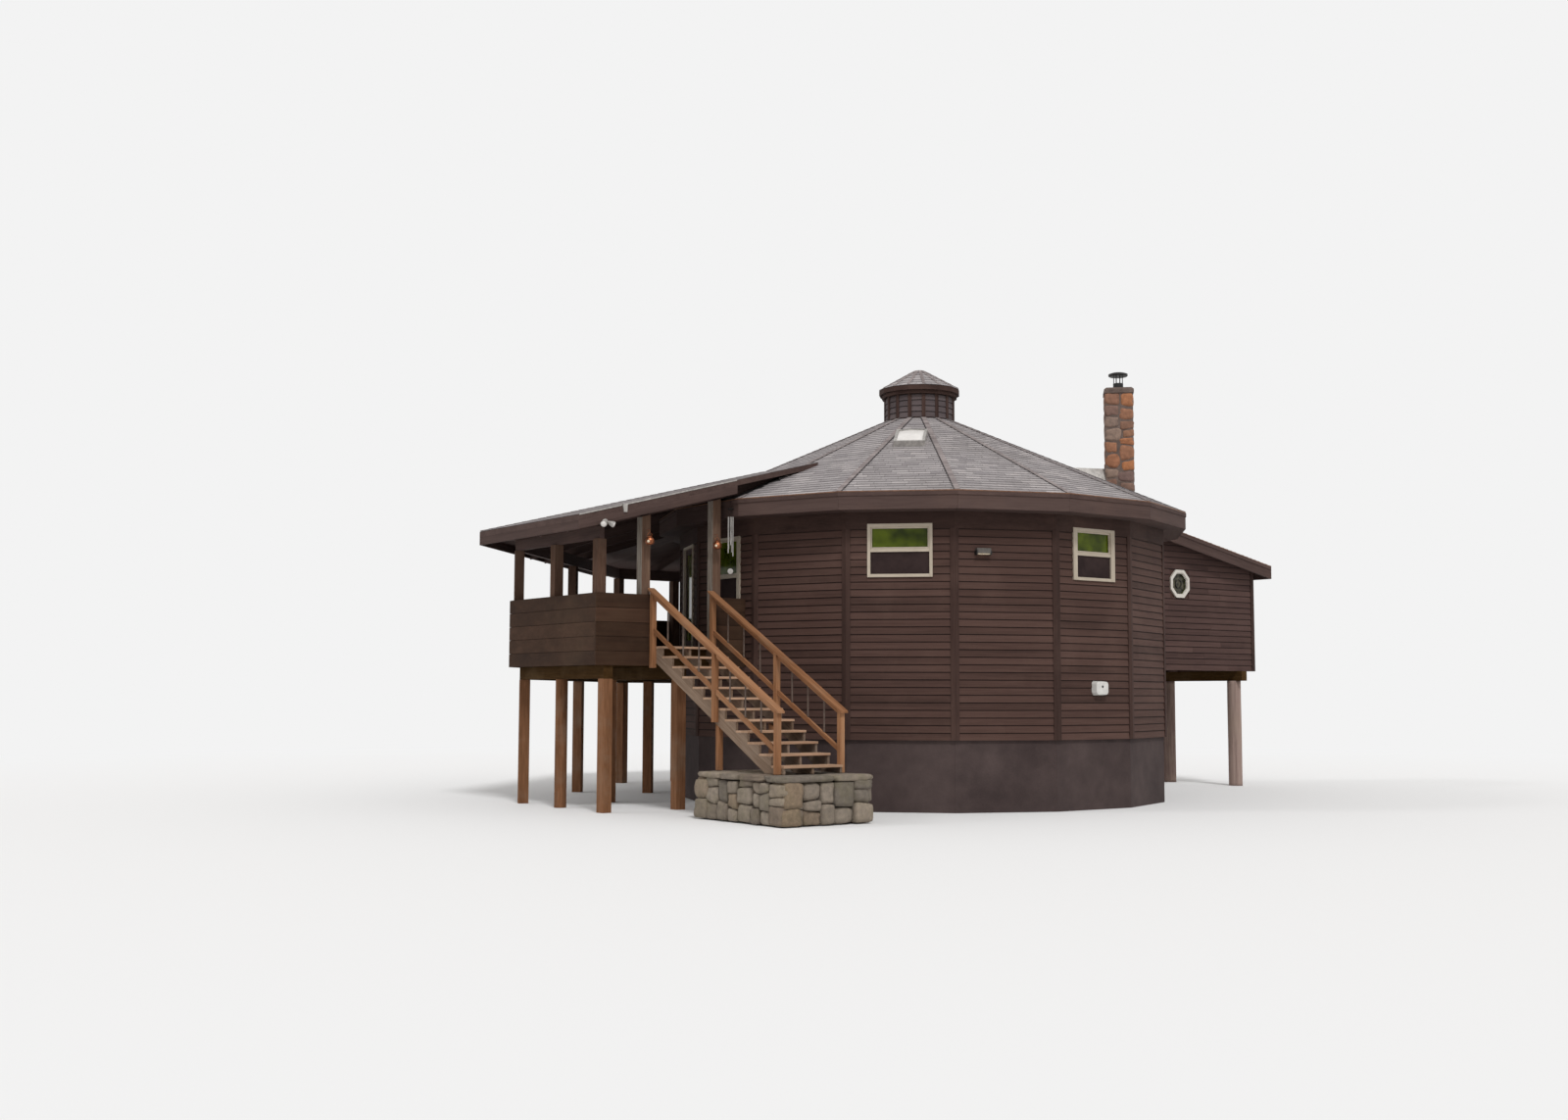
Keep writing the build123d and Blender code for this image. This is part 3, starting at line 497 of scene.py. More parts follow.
# Looks, with their colours as seen on a screen, 0 to 255
sidingLook = {
    "dark": (57, 41, 36), "middle": (75, 55, 49), "light": (90, 68, 61), "wornTo": (100, 78, 70),
    "roughness": 0.78, "length": 0.05, "fibre": 40.0, "contrast": 0.45, "figure": 0.5, "tones": 0.22,
    "patch": 0.8, "worn": 0.3, "bump": 0.2, "sheen": 0.16,
    # courseShade: painted shade under the foot of each next board
    "courseShade": {"from": 0.106, "to": 0.124, "shade": 0.2, "uneven": 0.1},
}
trimLook = dict(sidingLook, dark=(58, 44, 40), middle=(77, 61, 57), light=(92, 75, 70), tones=0.2,
                courseShade=None)
newLook = {
    "dark": (98, 63, 38), "middle": (142, 99, 68), "light": (174, 132, 98), "wornTo": (136, 110, 88),
    "roughness": 0.72, "length": 0.06, "fibre": 34.0, "contrast": 0.5, "figure": 0.6, "tones": 0.12,
    "patch": 1.8, "worn": 0.45, "bump": 0.25, "sheen": 0.16,
}
weatheredLook = {
    "dark": (84, 68, 56), "middle": (124, 104, 88), "light": (158, 138, 120), "wornTo": (142, 130, 120),
    "roughness": 0.85, "length": 0.05, "fibre": 55.0, "contrast": 0.7, "figure": 0.4, "tones": 0.3,
    "patch": 1.2, "worn": 0.5, "bump": 0.5, "sheen": 0.12,
}
beamLook = dict(weatheredLook, dark=(38, 25, 12), middle=(62, 43, 21), light=(86, 64, 38),
                wornTo=(94, 76, 54), sheen=0.05)
creamLook = {
    "dark": (160, 148, 132), "middle": (184, 172, 155), "light": (202, 190, 173), "wornTo": (150, 136, 120),
    "roughness": 0.5, "length": 0.1, "fibre": 30.0, "contrast": 0.3, "figure": 0.2, "tones": 0.2,
    "patch": 5.0, "worn": 0.3, "bump": 0.08, "sheen": 0.35,
}
woodLooks = {
    "siding_stain": sidingLook,
    "wing_stain": dict(sidingLook, dark=(59, 43, 40), middle=(77, 58, 54), light=(92, 71, 66)),
    "cupola_stain": dict(sidingLook, dark=(70, 62, 63), middle=(90, 81, 82), light=(104, 94, 94)),
    "trim_stain": trimLook,
    "corner_stain": dict(trimLook, dark=(46, 32, 28), middle=(62, 45, 40), light=(78, 59, 53)),
    "guard_stain": dict(sidingLook, dark=(42, 27, 18), middle=(60, 41, 29), light=(80, 57, 44),
                        wornTo=(84, 66, 50), tones=0.3, fibre=26.0, figure=0.7, courseShade=None),
    "new_lumber": newLook,
    "tread_lumber": dict(newLook, dark=(134, 104, 80), middle=(178, 145, 120), light=(204, 174, 148)),
    "weathered_boards": weatheredLook,
    "weathered_legs": dict(weatheredLook, dark=(78, 52, 34), middle=(124, 86, 60), light=(156, 116, 88),
                           wornTo=(138, 118, 100)),
    "weathered_posts": dict(weatheredLook, dark=(58, 42, 34), middle=(88, 66, 54), light=(118, 94, 78),
                            wornTo=(106, 88, 76), weatherTurn=-45, weatherTo=(150, 142, 132)),
    "dark_beams": beamLook,
    "peeled_logs": dict(weatheredLook, dark=(92, 74, 68), middle=(142, 121, 113), light=(172, 152, 142),
                        wornTo=(152, 134, 120), length=0.04, fibre=38.0),
    "cream_paint": creamLook,
    "white_paint": dict(creamLook, dark=(192, 186, 176), middle=(208, 203, 194), light=(220, 216, 208),
                        wornTo=(186, 178, 166)),
    "wall_boards": dict(sidingLook, own=False, courseShade=None),
    "ceiling_boards": dict(trimLook, own=False),
    "floor_wood": dict(beamLook, own=False),
}
shingleLook = {
    "roughness": 0.93, "patch": 1.0, "mottle": 7.0, "grit": 150.0,
    "tones": [(0.0, (146, 140, 141)), (0.3, (159, 153, 153)), (0.7, (168, 162, 162)), (1.0, (183, 176, 175))],
    "low": (0.9, 0.9, 0.91), "high": (1.05, 1.05, 1.05), "gritLow": 0.84,
    "stain": (128, 122, 120), "stainSize": 0.5, "stainAmount": 0.45, "bump": 0.35, "bumpDepth": 0.002,
    # courseShade: painted shade under the foot of each next shingle course
    "courseShade": {"from": 0.09, "to": 0.132, "shade": 0.22, "uneven": 0.5},
}
stoneLook = {
    "roughness": 0.9, "patch": 1.0, "mottle": 11.0, "grit": 90.0,
    "tones": [(0.0, (110, 93, 88)), (0.16, (168, 112, 78)), (0.3, (132, 104, 92)), (0.44, (176, 118, 80)),
              (0.58, (118, 98, 94)), (0.7, (158, 116, 90)), (0.82, (124, 96, 84)), (0.92, (150, 128, 114)),
              (1.0, (104, 89, 88))],
    "low": (0.7, 0.69, 0.68), "high": (1.12, 1.1, 1.08), "gritLow": 0.86, "bump": 0.6, "bumpDepth": 0.01,
}
gritLooks = {
    "roof_shingles": shingleLook,
    "hip_shingles": dict(shingleLook, courseShade=None, tones=[(0.0, (126, 116, 115)), (1.0, (154, 144, 142))]),
    # Felt under the shingles, also used for the strips of painted shadow beside the hip caps
    "roof_felt_and_painted_shadow": dict(shingleLook, own=False, courseShade=None, tones=[(0.0, (60, 56, 57)), (1.0, (78, 73, 73))]),
    "field_stone": stoneLook,
    "dry_stone": dict(stoneLook, bump=1.0, bumpDepth=0.02, stain=(112, 106, 76), stainSize=2.5,
                      stainAmount=0.35,
                      tones=[(0.0, (116, 108, 99)), (0.3, (146, 135, 122)), (0.55, (128, 117, 105)),
                             (0.75, (156, 145, 132)), (0.92, (138, 120, 100)), (1.0, (120, 109, 100))]),
    "mortar": dict(stoneLook, own=False, patch=3.0, tones=[(0.3, (96, 82, 76)), (0.7, (120, 105, 98))]),
    "painted_concrete": dict(stoneLook, own=False, patch=0.8, mottle=4.0, grit=70.0,
                             tones=[(0.35, (58, 46, 45)), (0.65, (76, 63, 61))], low=(0.85, 0.85, 0.85),
                             high=(1.1, 1.1, 1.1), bump=0.35, bumpDepth=0.004),
}


def metalLook(dark, light, roughness, metallic, blotch, sheen=0.5):
    return {"dark": dark, "light": light, "roughness": roughness, "metallic": metallic, "blotch": blotch,
            "sheen": sheen}


metalLooks = {
    "black_metal": metalLook((22, 21, 21), (40, 38, 37), 0.5, 0.3, 18.0),
    "pale_metal": metalLook((150, 146, 142), (186, 182, 177), 0.45, 0.4, 12.0),
    "copper": metalLook((128, 74, 50), (176, 112, 76), 0.38, 0.8, 30.0),
    "white_plastic": metalLook((196, 194, 190), (214, 212, 208), 0.45, 0.0, 9.0),
    "bulb": metalLook((226, 206, 176), (236, 222, 196), 0.25, 0.0, 6.0),
    "insect_mesh": metalLook((42, 32, 32), (56, 44, 43), 0.8, 0.0, 3.0, sheen=0.1),
    "worn_iron": metalLook((80, 66, 58), (108, 92, 82), 0.6, 0.2, 20.0),
    "grey_metal": metalLook((74, 70, 66), (96, 91, 86), 0.6, 0.2, 14.0),
    "drip_metal": metalLook((98, 66, 48), (132, 94, 70), 0.5, 0.2, 12.0),
    "milky_plastic": metalLook((214, 210, 206), (228, 224, 220), 0.3, 0.0, 4.0),
}
# Window panes: their green, in blotches from dark to light, is a painted reflection of trees
treeReflectionGlassLook = {"dark": (46, 56, 8), "light": (90, 104, 18), "roughness": 0.08, "wave": 2.6, "alpha": 0.95,
             "sheen": 0.15}
octagonLook = dict(treeReflectionGlassLook, dark=(40, 40, 34), light=(92, 88, 72), wave=9.0)

woods = {name: woodFinish(name, look) for name, look in woodLooks.items()}
grits = {name: grainyFinish(name, look) for name, look in gritLooks.items()}
metals = {name: metalFinish(name, look) for name, look in metalLooks.items()}
glass = glassFinish("window_glass_painted_reflection", treeReflectionGlassLook)
octagonGlass = glassFinish("octagon_glass_dark", octagonLook)
print("materials mixed")

# Camera at the photograph's viewing angle
view = {"place": (2.457, -33.480, 2.026), "yaw": -8.957, "pitch": 4.727, "roll": 0.154, "lens": 37.60}


def placeCamera():
    camera = bpy.data.objects.new("camera", bpy.data.cameras.new("camera"))
    camera.data.lens = view["lens"]
    camera.data.sensor_width = 36.0
    camera.data.clip_end = 400
    camera.location = view["place"]
    yaw, pitch, roll = (radians(view[name]) for name in ("yaw", "pitch", "roll"))
    forward = Vector((sin(yaw) * cos(pitch), cos(yaw) * cos(pitch), sin(pitch)))
    level = Vector((cos(yaw), -sin(yaw), 0))
    head = level.cross(forward)
    across = level * cos(roll) + head * sin(roll)
    head = head * cos(roll) - level * sin(roll)
    camera.rotation_mode = "QUATERNION"
    camera.rotation_quaternion = Matrix((across, head, -forward)).transposed().to_quaternion()
    scene.collection.objects.link(camera)
    scene.camera = camera


# Plain pale floor and soft studio light
studio = {"backdrop": (243, 243, 243), "floor": (236, 236, 236), "floorRadius": 160.0, "fadeFrom": 14.0,
          "fadeTo": 34.0, "ambient": 0.62, "sky": (1.0, 0.985, 0.97, 1), "softness": 11.0}
# Each lamp by its turn, its rise over the ground and its strength
lamps = {"key": (24.0, 50.0, 1.5), "fill": (-71.0, 35.0, 0.35)}


def raysSeen(owner):
    # 1 for the rays that show the plain backdrop
    rays = addNode(owner, "ShaderNodeLightPath").outputs
    seen = mathOf(owner, "MAXIMUM", rays["Is Camera Ray"], rays["Is Glossy Ray"])
    return mathOf(owner, "MAXIMUM", seen, rays["Is Transmission Ray"])


def buildStage():
    steps = 48
    mesh = bpy.data.meshes.new("floor")
    rim = [place(360 * step / steps, studio["floorRadius"], 0, -0.001) for step in range(steps)]
    mesh.from_pydata(rim, [], [list(range(steps))])
    floorPiece = bpy.data.objects.new("floor", mesh)
    scene.collection.objects.link(floorPiece)
    material = startMaterial("pale_floor", 0.9)
    setShader(material, {"Base Color": tint(*studio["floor"])})
    spot = addNode(material, "ShaderNodeNewGeometry").outputs["Position"]
    distance = addNode(material, "ShaderNodeVectorMath", {0: spot}, operation="LENGTH").outputs["Value"]
    fade = addNode(material, "ShaderNodeMapRange", {
        "Value": distance, "From Min": studio["fadeFrom"], "From Max": studio["fadeTo"]},
        interpolation_type="SMOOTHSTEP").outputs[0]
    white = addNode(material, "ShaderNodeEmission", {"Color": tint(*studio["backdrop"])})
    plain = material.node_tree.nodes["Principled BSDF"]
    mix = addNode(material, "ShaderNodeMixShader", {
        0: mathOf(material, "MULTIPLY", fade, raysSeen(material)), 1: plain.outputs[0], 2: white.outputs[0]})
    setInputs(material, material.node_tree.nodes["Material Output"], {0: mix.outputs[0]})
    mesh.materials.append(material)


def buildLight():
    world = bpy.data.worlds.new("studio")
    scene.world = world
    world.use_nodes = True
    plain = world.node_tree.nodes["Background"]
    setInputs(world, plain, {"Color": studio["sky"], "Strength": studio["ambient"]})
    white = addNode(world, "ShaderNodeBackground", {"Color": tint(*studio["backdrop"])})
    mix = addNode(world, "ShaderNodeMixShader", {
        0: raysSeen(world), 1: plain.outputs[0], 2: white.outputs[0]})
    setInputs(world, world.node_tree.nodes["World Output"], {0: mix.outputs[0]})
    for name, (turn, rise, strength) in lamps.items():
        lamp = bpy.data.lights.new(name, "SUN")
        lamp.energy = strength
        lamp.angle = radians(studio["softness"])
        lampObject = bpy.data.objects.new(name, lamp)
        toLamp = outward(turn) * cos(radians(rise)) + up * sin(radians(rise))
        lampObject.rotation_mode = "QUATERNION"
        lampObject.rotation_quaternion = toLamp.to_track_quat("Z", "Y")
        scene.collection.objects.link(lampObject)


placeCamera()
buildStage()
buildLight()
print("camera, floor and light set")


# Clapboards: wedge boards in even courses, cut round openings, with boards at the corners
siding = {"course": 0.1323, "butt": 0.02, "edge": 0.004, "lap": 0.016, "jointed": 2.4, "gap": 0.0025,
          "corner": 0.072, "cornerThick": 0.03, "frieze": 0.3, "friezeThick": 0.03, "clear": 0.002}
# Each window by its side of the house: width, sill and height; the deck door is the last
wideWindow = (1.15, 4.105, 0.945)
narrowWindow = (0.98, 4.105, 0.945)
windowPlan = {0: wideWindow, 45: narrowWindow, 90: narrowWindow, 180: wideWindow, 225: narrowWindow,
              270: narrowWindow, 315: (0.9, 3.49, 1.48), 292.5: (1.01, 2.88, 2.085)}
doorPlan = {"turn": 292.5, "knobShift": 0.39, "knobHeight": 0.98, "leafBack": 0.05}
octagon = {"reach": house["wallFace"] + 1.834, "drop": 0.9633, "half": 0.31, "rim": 0.065, "step": 0.02,
           "ring": (0.088, 0.1)}


def wingRoofAt(distance):
    return wing["roofHeight"] + wing["roofSlope"] * (wing["roofEnd"] - distance)


octagonHeight = wingRoofAt(octagon["reach"]) - wing["roofThick"] - octagon["drop"]


def clapboard(pile, turn, face, left, right, foot, head, base, course, tone=None, limits=None):
    # One board, a wedge thick at its foot: left and right are shifts, base is the foot of its course,
    # and limits are the (left, right) ends of the wall at the board's foot and head
    if right - left < 0.01 or head - foot < 0.004:
        return
    low, high = limits or ((left, right), (left, right))
    ends = []
    for shift in (left, right):
        footShift = min(max(shift, low[0]), low[1])
        headShift = min(max(shift, high[0]), high[1])
        ends.append([place(turn, face + depth, across, height) for depth, across, height in (
            (-0.001, footShift, foot), (siding["butt"], footShift, foot),
            (siding["edge"], headShift, head), (-0.001, headShift, head))])
    addBlock(pile, ends, tone)
    for grain, point in zip(pile["grain"][-8:], pile["points"][-8:]):
        grain.z = (point.z - base) / course * siding["course"]


def cutSpans(spans, hole):
    # What a hole leaves of each (left, right, foot, head)
    holeLeft, holeRight, holeFoot, holeHead = hole
    rest = []
    for left, right, foot, head in spans:
        if right <= holeLeft or left >= holeRight:
            rest.append((left, right, foot, head))
            continue
        middle = (max(left, holeLeft), min(right, holeRight))
        rest += [(left, holeLeft, foot, head), (holeRight, right, foot, head),
                 (*middle, foot, min(head, holeFoot)), (*middle, max(foot, holeHead), head)]
    return rest


def clapboardWall(pile, turn, face, left, right, foot, heads, openings=()):
    # heads are the wall's heights at its left and right ends; openings are (left, right, foot, head)
    def limitsAt(height):
        across = (right - left) / ((heads[1] - heads[0]) or 1)
        meeting = left + (height - heads[0]) * across
        start = left if heads[0] >= height else min(meeting, right)
        end = right if heads[1] >= height else max(meeting, left)
        return start, end

    for number in range(ceil((max(heads) - foot) / siding["course"])):
        low = foot + number * siding["course"]
        high = min(low + siding["course"] + siding["lap"], max(heads))
        limits = (limitsAt(low), limitsAt(high))
        start, end = limits[0]
        cuts = [start, end]
        if end - start > siding["jointed"]:
            cuts.append(dice.uniform(start + 0.6, end - 0.6))
        for boardLeft, boardRight in zip(sorted(cuts), sorted(cuts)[1:]):
            tone = dice.random()
            spans = [(boardLeft, boardRight - siding["gap"], low, high)]
            for hole in openings:
                if low + siding["clear"] < hole[3] and low + siding["course"] > hole[2]:
                    spans = cutSpans(spans, hole)
            for span in spans:
                clapboard(pile, turn, face, *span, low, siding["course"], tone, limits)


def flatBoard(pile, turn, face, left, right, foot, head, thick, tone=None):
    # A flat board on a wall, its grain running the longer way
    upright = head - foot > right - left
    corner = (right, foot) if upright else (left, head)
    outline = [place(turn, face, left, foot), place(turn, face + thick, left, foot),
               place(turn, face + thick, *corner), place(turn, face, *corner)]
    extrude(pile, outline, up * (head - foot) if upright else along(turn) * (right - left), tone)


def mitredBoard(pile, turn, inner, outer, low, high):
    # A board along one side of the house, cut to meet its neighbours
    addBlock(pile, [[place(turn, distance, hand * distance * mitre, height)
                     for distance, height in rectangle(inner, outer, low, high)] for hand in (-1, 1)])


def buildHouseSiding():
    boards, trims = startPile(), startPile()
    face, foot, eave = house["wallFace"], house["wallFoot"], house["eaveFoot"]
    half = face * mitre
    friezeFoot = eave - siding["frieze"]
    for turn in sideTurns:
        holes = []
        if turn in windowPlan:
            width, sill, tall = windowPlan[turn]
            holes.append((-width / 2, width / 2, sill, sill + tall))
        head = wing["foot"] if turn == wing["turn"] else friezeFoot + 0.02
        clapboardWall(boards, turn, face, 0.01 - half, half - 0.01, foot + siding["clear"], (head, head),
                      holes)
        if turn == wing["turn"]:
            continue
        thick = siding["cornerThick"]
        for hand in (-1, 1):
            tone = dice.random()
            inner = hand * (half - siding["corner"])
            outer = hand * ((face + thick) * mitre)
            outline = [place(turn, face, inner, foot), place(turn, face + thick, inner, foot),
                       place(turn, face + thick, outer, foot), place(turn, face, hand * half, foot)]
            extrude(trims, outline, up * (friezeFoot - foot), tone)
        thick = siding["friezeThick"]
        outer = (face + thick) * mitre
        spans = [(-half, half, friezeFoot, eave)]
        if holes and holes[0][3] > friezeFoot:
            left, right, sill, head = holes[0]
            spans = [(-half, left, friezeFoot, eave), (right, half, friezeFoot, eave),
                     (left, right, head, eave)]
        tone = dice.random()
        for left, right, low, high in spans:
            ends = []
            for shift in (left, right):
                front = shift if abs(shift) < half else outer * (1 if shift > 0 else -1)
                ends.append([place(turn, face, shift, low), place(turn, face + thick, front, low),
                             place(turn, face + thick, front, high), place(turn, face, shift, high)])
            addBlock(trims, ends, tone)
    finishPile(boards, "house_clapboards", woods["siding_stain"], "siding")
    finishPile(trims, "house_corner_boards", woods["corner_stain"], "siding", bevel=0.002)


def buildWingSiding():
    boards, trims = startPile(), startPile()
    face, end, foot = wing["half"], wing["end"], wing["foot"]
    thick = siding["cornerThick"]
    head = wingRoofAt(end) - wing["roofThick"]
    for turn, hand in ((45, 1), (-135, -1)):
        holes = []
        if hand > 0:
            holes.append((octagon["reach"] - octagon["half"], octagon["reach"] + octagon["half"],
                          octagonHeight - octagon["half"], octagonHeight + octagon["half"]))
        ends = sorted((hand * (house["wallFace"] - 0.02), hand * end))
        clapboardWall(boards, turn, face, ends[0], ends[1], foot + siding["clear"],
                      [wingRoofAt(abs(shift)) - wing["roofThick"] - 0.004 for shift in ends], holes)
        edge = sorted((hand * (end - siding["corner"]), hand * (end + thick)))
        flatBoard(trims, turn, face, edge[0], edge[1], foot, head, thick)
    clapboardWall(boards, wing["turn"], end, -face, face, foot + siding["clear"], (head - 0.01, head - 0.01))
    for hand in (-1, 1):
        edge = sorted((hand * (face - siding["corner"]), hand * face))
        flatBoard(trims, wing["turn"], end, edge[0], edge[1], foot, head, thick)
    finishPile(boards, "wing_clapboards", woods["wing_stain"], "siding")
    finishPile(trims, "wing_corner_boards", woods["corner_stain"], "siding", bevel=0.002)


buildHouseSiding()
buildWingSiding()
print("clapboards on")


# Roof sides: the eave's distance and height, the slope, and the lines (offset, spread) that end them
def roofSide(turn, edge, height, slope, left, right):
    return {"turn": turn, "edge": edge, "height": height, "slope": slope, "left": left, "right": right}


porch = {"innerEnd": 3.397, "overhang": 0.54, "endOverhang": 0.35, "slope": 0.26, "eave": 5.084}
porchEnd = deck["end"] + porch["endOverhang"]
mainSides = [roofSide(turn, house["eaveFace"], house["eaveTop"], house["roofSlope"], (0, -mitre), (0, mitre))
             for turn in sideTurns]
porchSides = [roofSide(turn, reach + porch["overhang"], porch["eave"], porch["slope"], left, right)
              for turn, reach, left, right in (
                  (-45, deck["reach"], (mitreOffset, -deckMitre), (porchEnd, 0)),
                  (-90, deck["left"], (-mitreOffset, -deckMitre), (mitreOffset, deckMitre)),
                  (-135, deck["reach"], (-porchEnd, 0), (-mitreOffset, deckMitre)))]
wingSides = [roofSide(wing["turn"], wing["roofEnd"], wing["roofHeight"], wing["roofSlope"],
                      (-wing["roofHalf"], 0), (wing["roofHalf"], 0))]


def onSide(side, inset, shift, lift=0.0):
    # A point on a roof side: inset is how far it lies in from the eave, in plan
    return place(side["turn"], side["edge"] - inset, shift, side["height"] + side["slope"] * inset + lift)


def lineAt(side, name, inset):
    offset, spread = side[name]
    return offset + spread * (side["edge"] - inset)


def roofHeight(sides, point):
    # Height of a hipped roof over a point, or nothing where the point is outside it
    heights = []
    for side in sides:
        inset = side["edge"] - point.dot(outward(side["turn"]))
        if inset < 0:
            return None
        heights.append(side["height"] + side["slope"] * inset)
    return min(heights)


def porchHeight(point):
    if point.dot(along(-45)) > porchEnd or point.dot(along(-135)) < -porchEnd or point.x > 0:
        return None
    return roofHeight(porchSides, point)


def wingHeight(point):
    if abs(point.dot(along(wing["turn"]))) > wing["roofHalf"] or point.dot(outward(wing["turn"])) < 0:
        return None
    return roofHeight(wingSides, point)


def mainHeight(point):
    return roofHeight(mainSides, point)


def heightOver(node, margin):
    # Stands for a block that goes through the roof, so that no shingle is laid inside it
    low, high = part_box(node)

    def heightAt(point):
        inside = all(low[axis] + margin < point[axis] < high[axis] - margin for axis in (0, 1))
        return 9.0 if inside else None
    return heightAt


def covered(point, others, margin):
    return any((other(point) or 0) > point.z + margin for other in others)


# line and lineHeights size the strip of painted shadow beside each hip cap
shingle = {"exposure": 0.142, "tab": 0.305, "gap": 0.005, "thick": 0.009, "lift": 0.008, "lap": 1.12,
           "hip": 0.05, "hipLong": 0.2, "hipLift": (2.4, 1.4), "line": 0.022, "lineHeights": (0.004, 0.0195),
           "stray": 0.008, "stagger": (0.5, 0.17)}


def layShingles(pile, side, depth, others, first=0.0, tab=shingle["tab"]):
    # Courses of tabs up one roof side, leaving out what lies under the other roofs
    run = shingle["exposure"] / hypot(1, side["slope"])
    lift, thick = shingle["lift"], shingle["thick"]
    for course in range(ceil((depth - first) / run)):
        low = first + course * run
        high = min(low + run * shingle["lap"], depth)
        if high - low < 0.01:
            continue
        lowEnds = (lineAt(side, "left", low), lineAt(side, "right", low))
        highEnds = (lineAt(side, "left", high), lineAt(side, "right", high))
        number = floor(min(lowEnds[0], highEnds[0]) / tab) - 1
        end = (number + shingle["stagger"][0] * (course % 2) + shingle["stagger"][1] * (course % 3)) * tab
        while end < max(lowEnds[1], highEnds[1]):
            start = end + shingle["gap"]
            end += tab
            lows = [min(max(value, lowEnds[0]), lowEnds[1]) for value in (start, end)]
            highs = [min(max(value, highEnds[0]), highEnds[1]) for value in (start, end)]
            if lows[1] - lows[0] < 0.015 and highs[1] - highs[0] < 0.015:
                continue
            spots = [onSide(side, low, shift) for shift in lows]
            spots += [onSide(side, high, shift) for shift in highs]
            if all(covered(spot, others, 0.03) for spot in spots):
                continue
            drop = low - dice.uniform(0, shingle["stray"]) if course else low
            addBlock(pile, [[onSide(side, drop, lowShift, lift), onSide(side, drop, lowShift, lift + thick),
                             onSide(side, high, highShift, thick * 0.4), onSide(side, high, highShift)]
                            for lowShift, highShift in zip(lows, highs)])
            for grain, inset in zip(pile["grain"][-8:], (low, low, high, high) * 2):
                grain.z = (inset - low) * hypot(1, side["slope"])


def layHip(pile, leftSide, rightSide, depth, others, first=0.0, flap=shingle["hip"], shade=None):
    # Bent caps over the line where two sides meet, leftSide's right end and rightSide's left end,
    # and a dark strip of painted shadow under the caps' edge on the side that faces the front more
    frontSide = min((leftSide, rightSide), key=lambda side: abs((side["turn"] + 180) % 360 - 180))
    run = shingle["exposure"]
    thick = shingle["thick"]
    for number in range(ceil((depth - first) / run)):
        low = first + number * run
        high = min(low + shingle["hipLong"], depth)
        if high - low < 0.04:
            continue
        half = (low + high) / 2
        if covered(onSide(leftSide, half, lineAt(leftSide, "right", half)), others, 0.02):
            continue
        ends = []
        hipShadowEnds = []
        for inset, rise in zip((low, high), shingle["hipLift"]):
            lift = shingle["lift"] * rise
            ridge = lineAt(leftSide, "right", inset)
            farRidge = lineAt(rightSide, "left", inset)
            reach = min(flap, max(0.02, (ridge - lineAt(leftSide, "left", inset)) / 2))
            spots = ((leftSide, ridge - reach), (leftSide, ridge), (rightSide, farRidge + reach))
            ends.append([onSide(side, inset, shift, lift) for side, shift in spots]
                        + [onSide(side, inset, shift, lift + thick) for side, shift in reversed(spots)])
            # The strip of painted shadow, beside the cap's edge toward the front
            edge, away = (ridge - reach, -1) if frontSide is leftSide else (farRidge + reach, 1)
            hipShadowEnds.append([onSide(frontSide, inset, shift, height) for shift, height in rectangle(
                edge - away * 0.01, edge + away * shingle["line"], *shingle["lineHeights"])])
        addBlock(pile, ends)
        if shade:
            addBlock(shade, hipShadowEnds, 0.0)


def buildRoofs():
    tabs, caps, lines = startPile(), startPile(), startPile()
    crown = house["eaveFace"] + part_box("cupola_wall")[0].y - 0.01
    blocks = (porchHeight, wingHeight, heightOver("chimney", 0.02))
    skylightHeight = heightOver("skylight_frame", 0)
    for number, side in enumerate(mainSides):
        layShingles(tabs, side, crown, (*blocks, skylightHeight))
        layHip(caps, side, mainSides[(number + 1) % len(mainSides)], crown, blocks, shade=lines)
    porchDepth = porchSides[0]["edge"] - porch["innerEnd"]
    for side in porchSides:
        layShingles(tabs, side, porchDepth, (mainHeight,), first=0.004)
    for number in (0, 1):
        layHip(caps, porchSides[number + 1], porchSides[number], porchDepth, (mainHeight,), first=0.01,
               shade=lines)
    layShingles(tabs, wingSides[0], 5.8, (mainHeight,))
    finishPile(tabs, "roof_shingles", grits["roof_shingles"], "shingles")
    finishPile(caps, "hip_caps", grits["hip_shingles"], "shingles")
    # Painted shadow: dark strips beside the hip caps, in the felt's colour
    finishPile(lines, "hip_painted_shadow_lines", grits["roof_felt_and_painted_shadow"], "shingles")


buildRoofs()
print("roofs shingled")


# Chimney: field stones on a mortar core, with flashing, a metal saddle and a hooded flue
chimneyLook = {"rows": (0.15, 0.3), "leastTop": 0.15, "tilt": 0.05, "sunk": 0, "joint": 0.014, "proud": 0.012,
               "wander": 0.15, "roundness": (7, 12), "cap": 0.12, "capOver": 0.02, "flashing": 0.06,
               "saddleTurn": 112.5, "saddleTop": 6.76}
flue = {"radius": 0.105, "cap": 0.2, "gap": 0.23, "bars": 8}


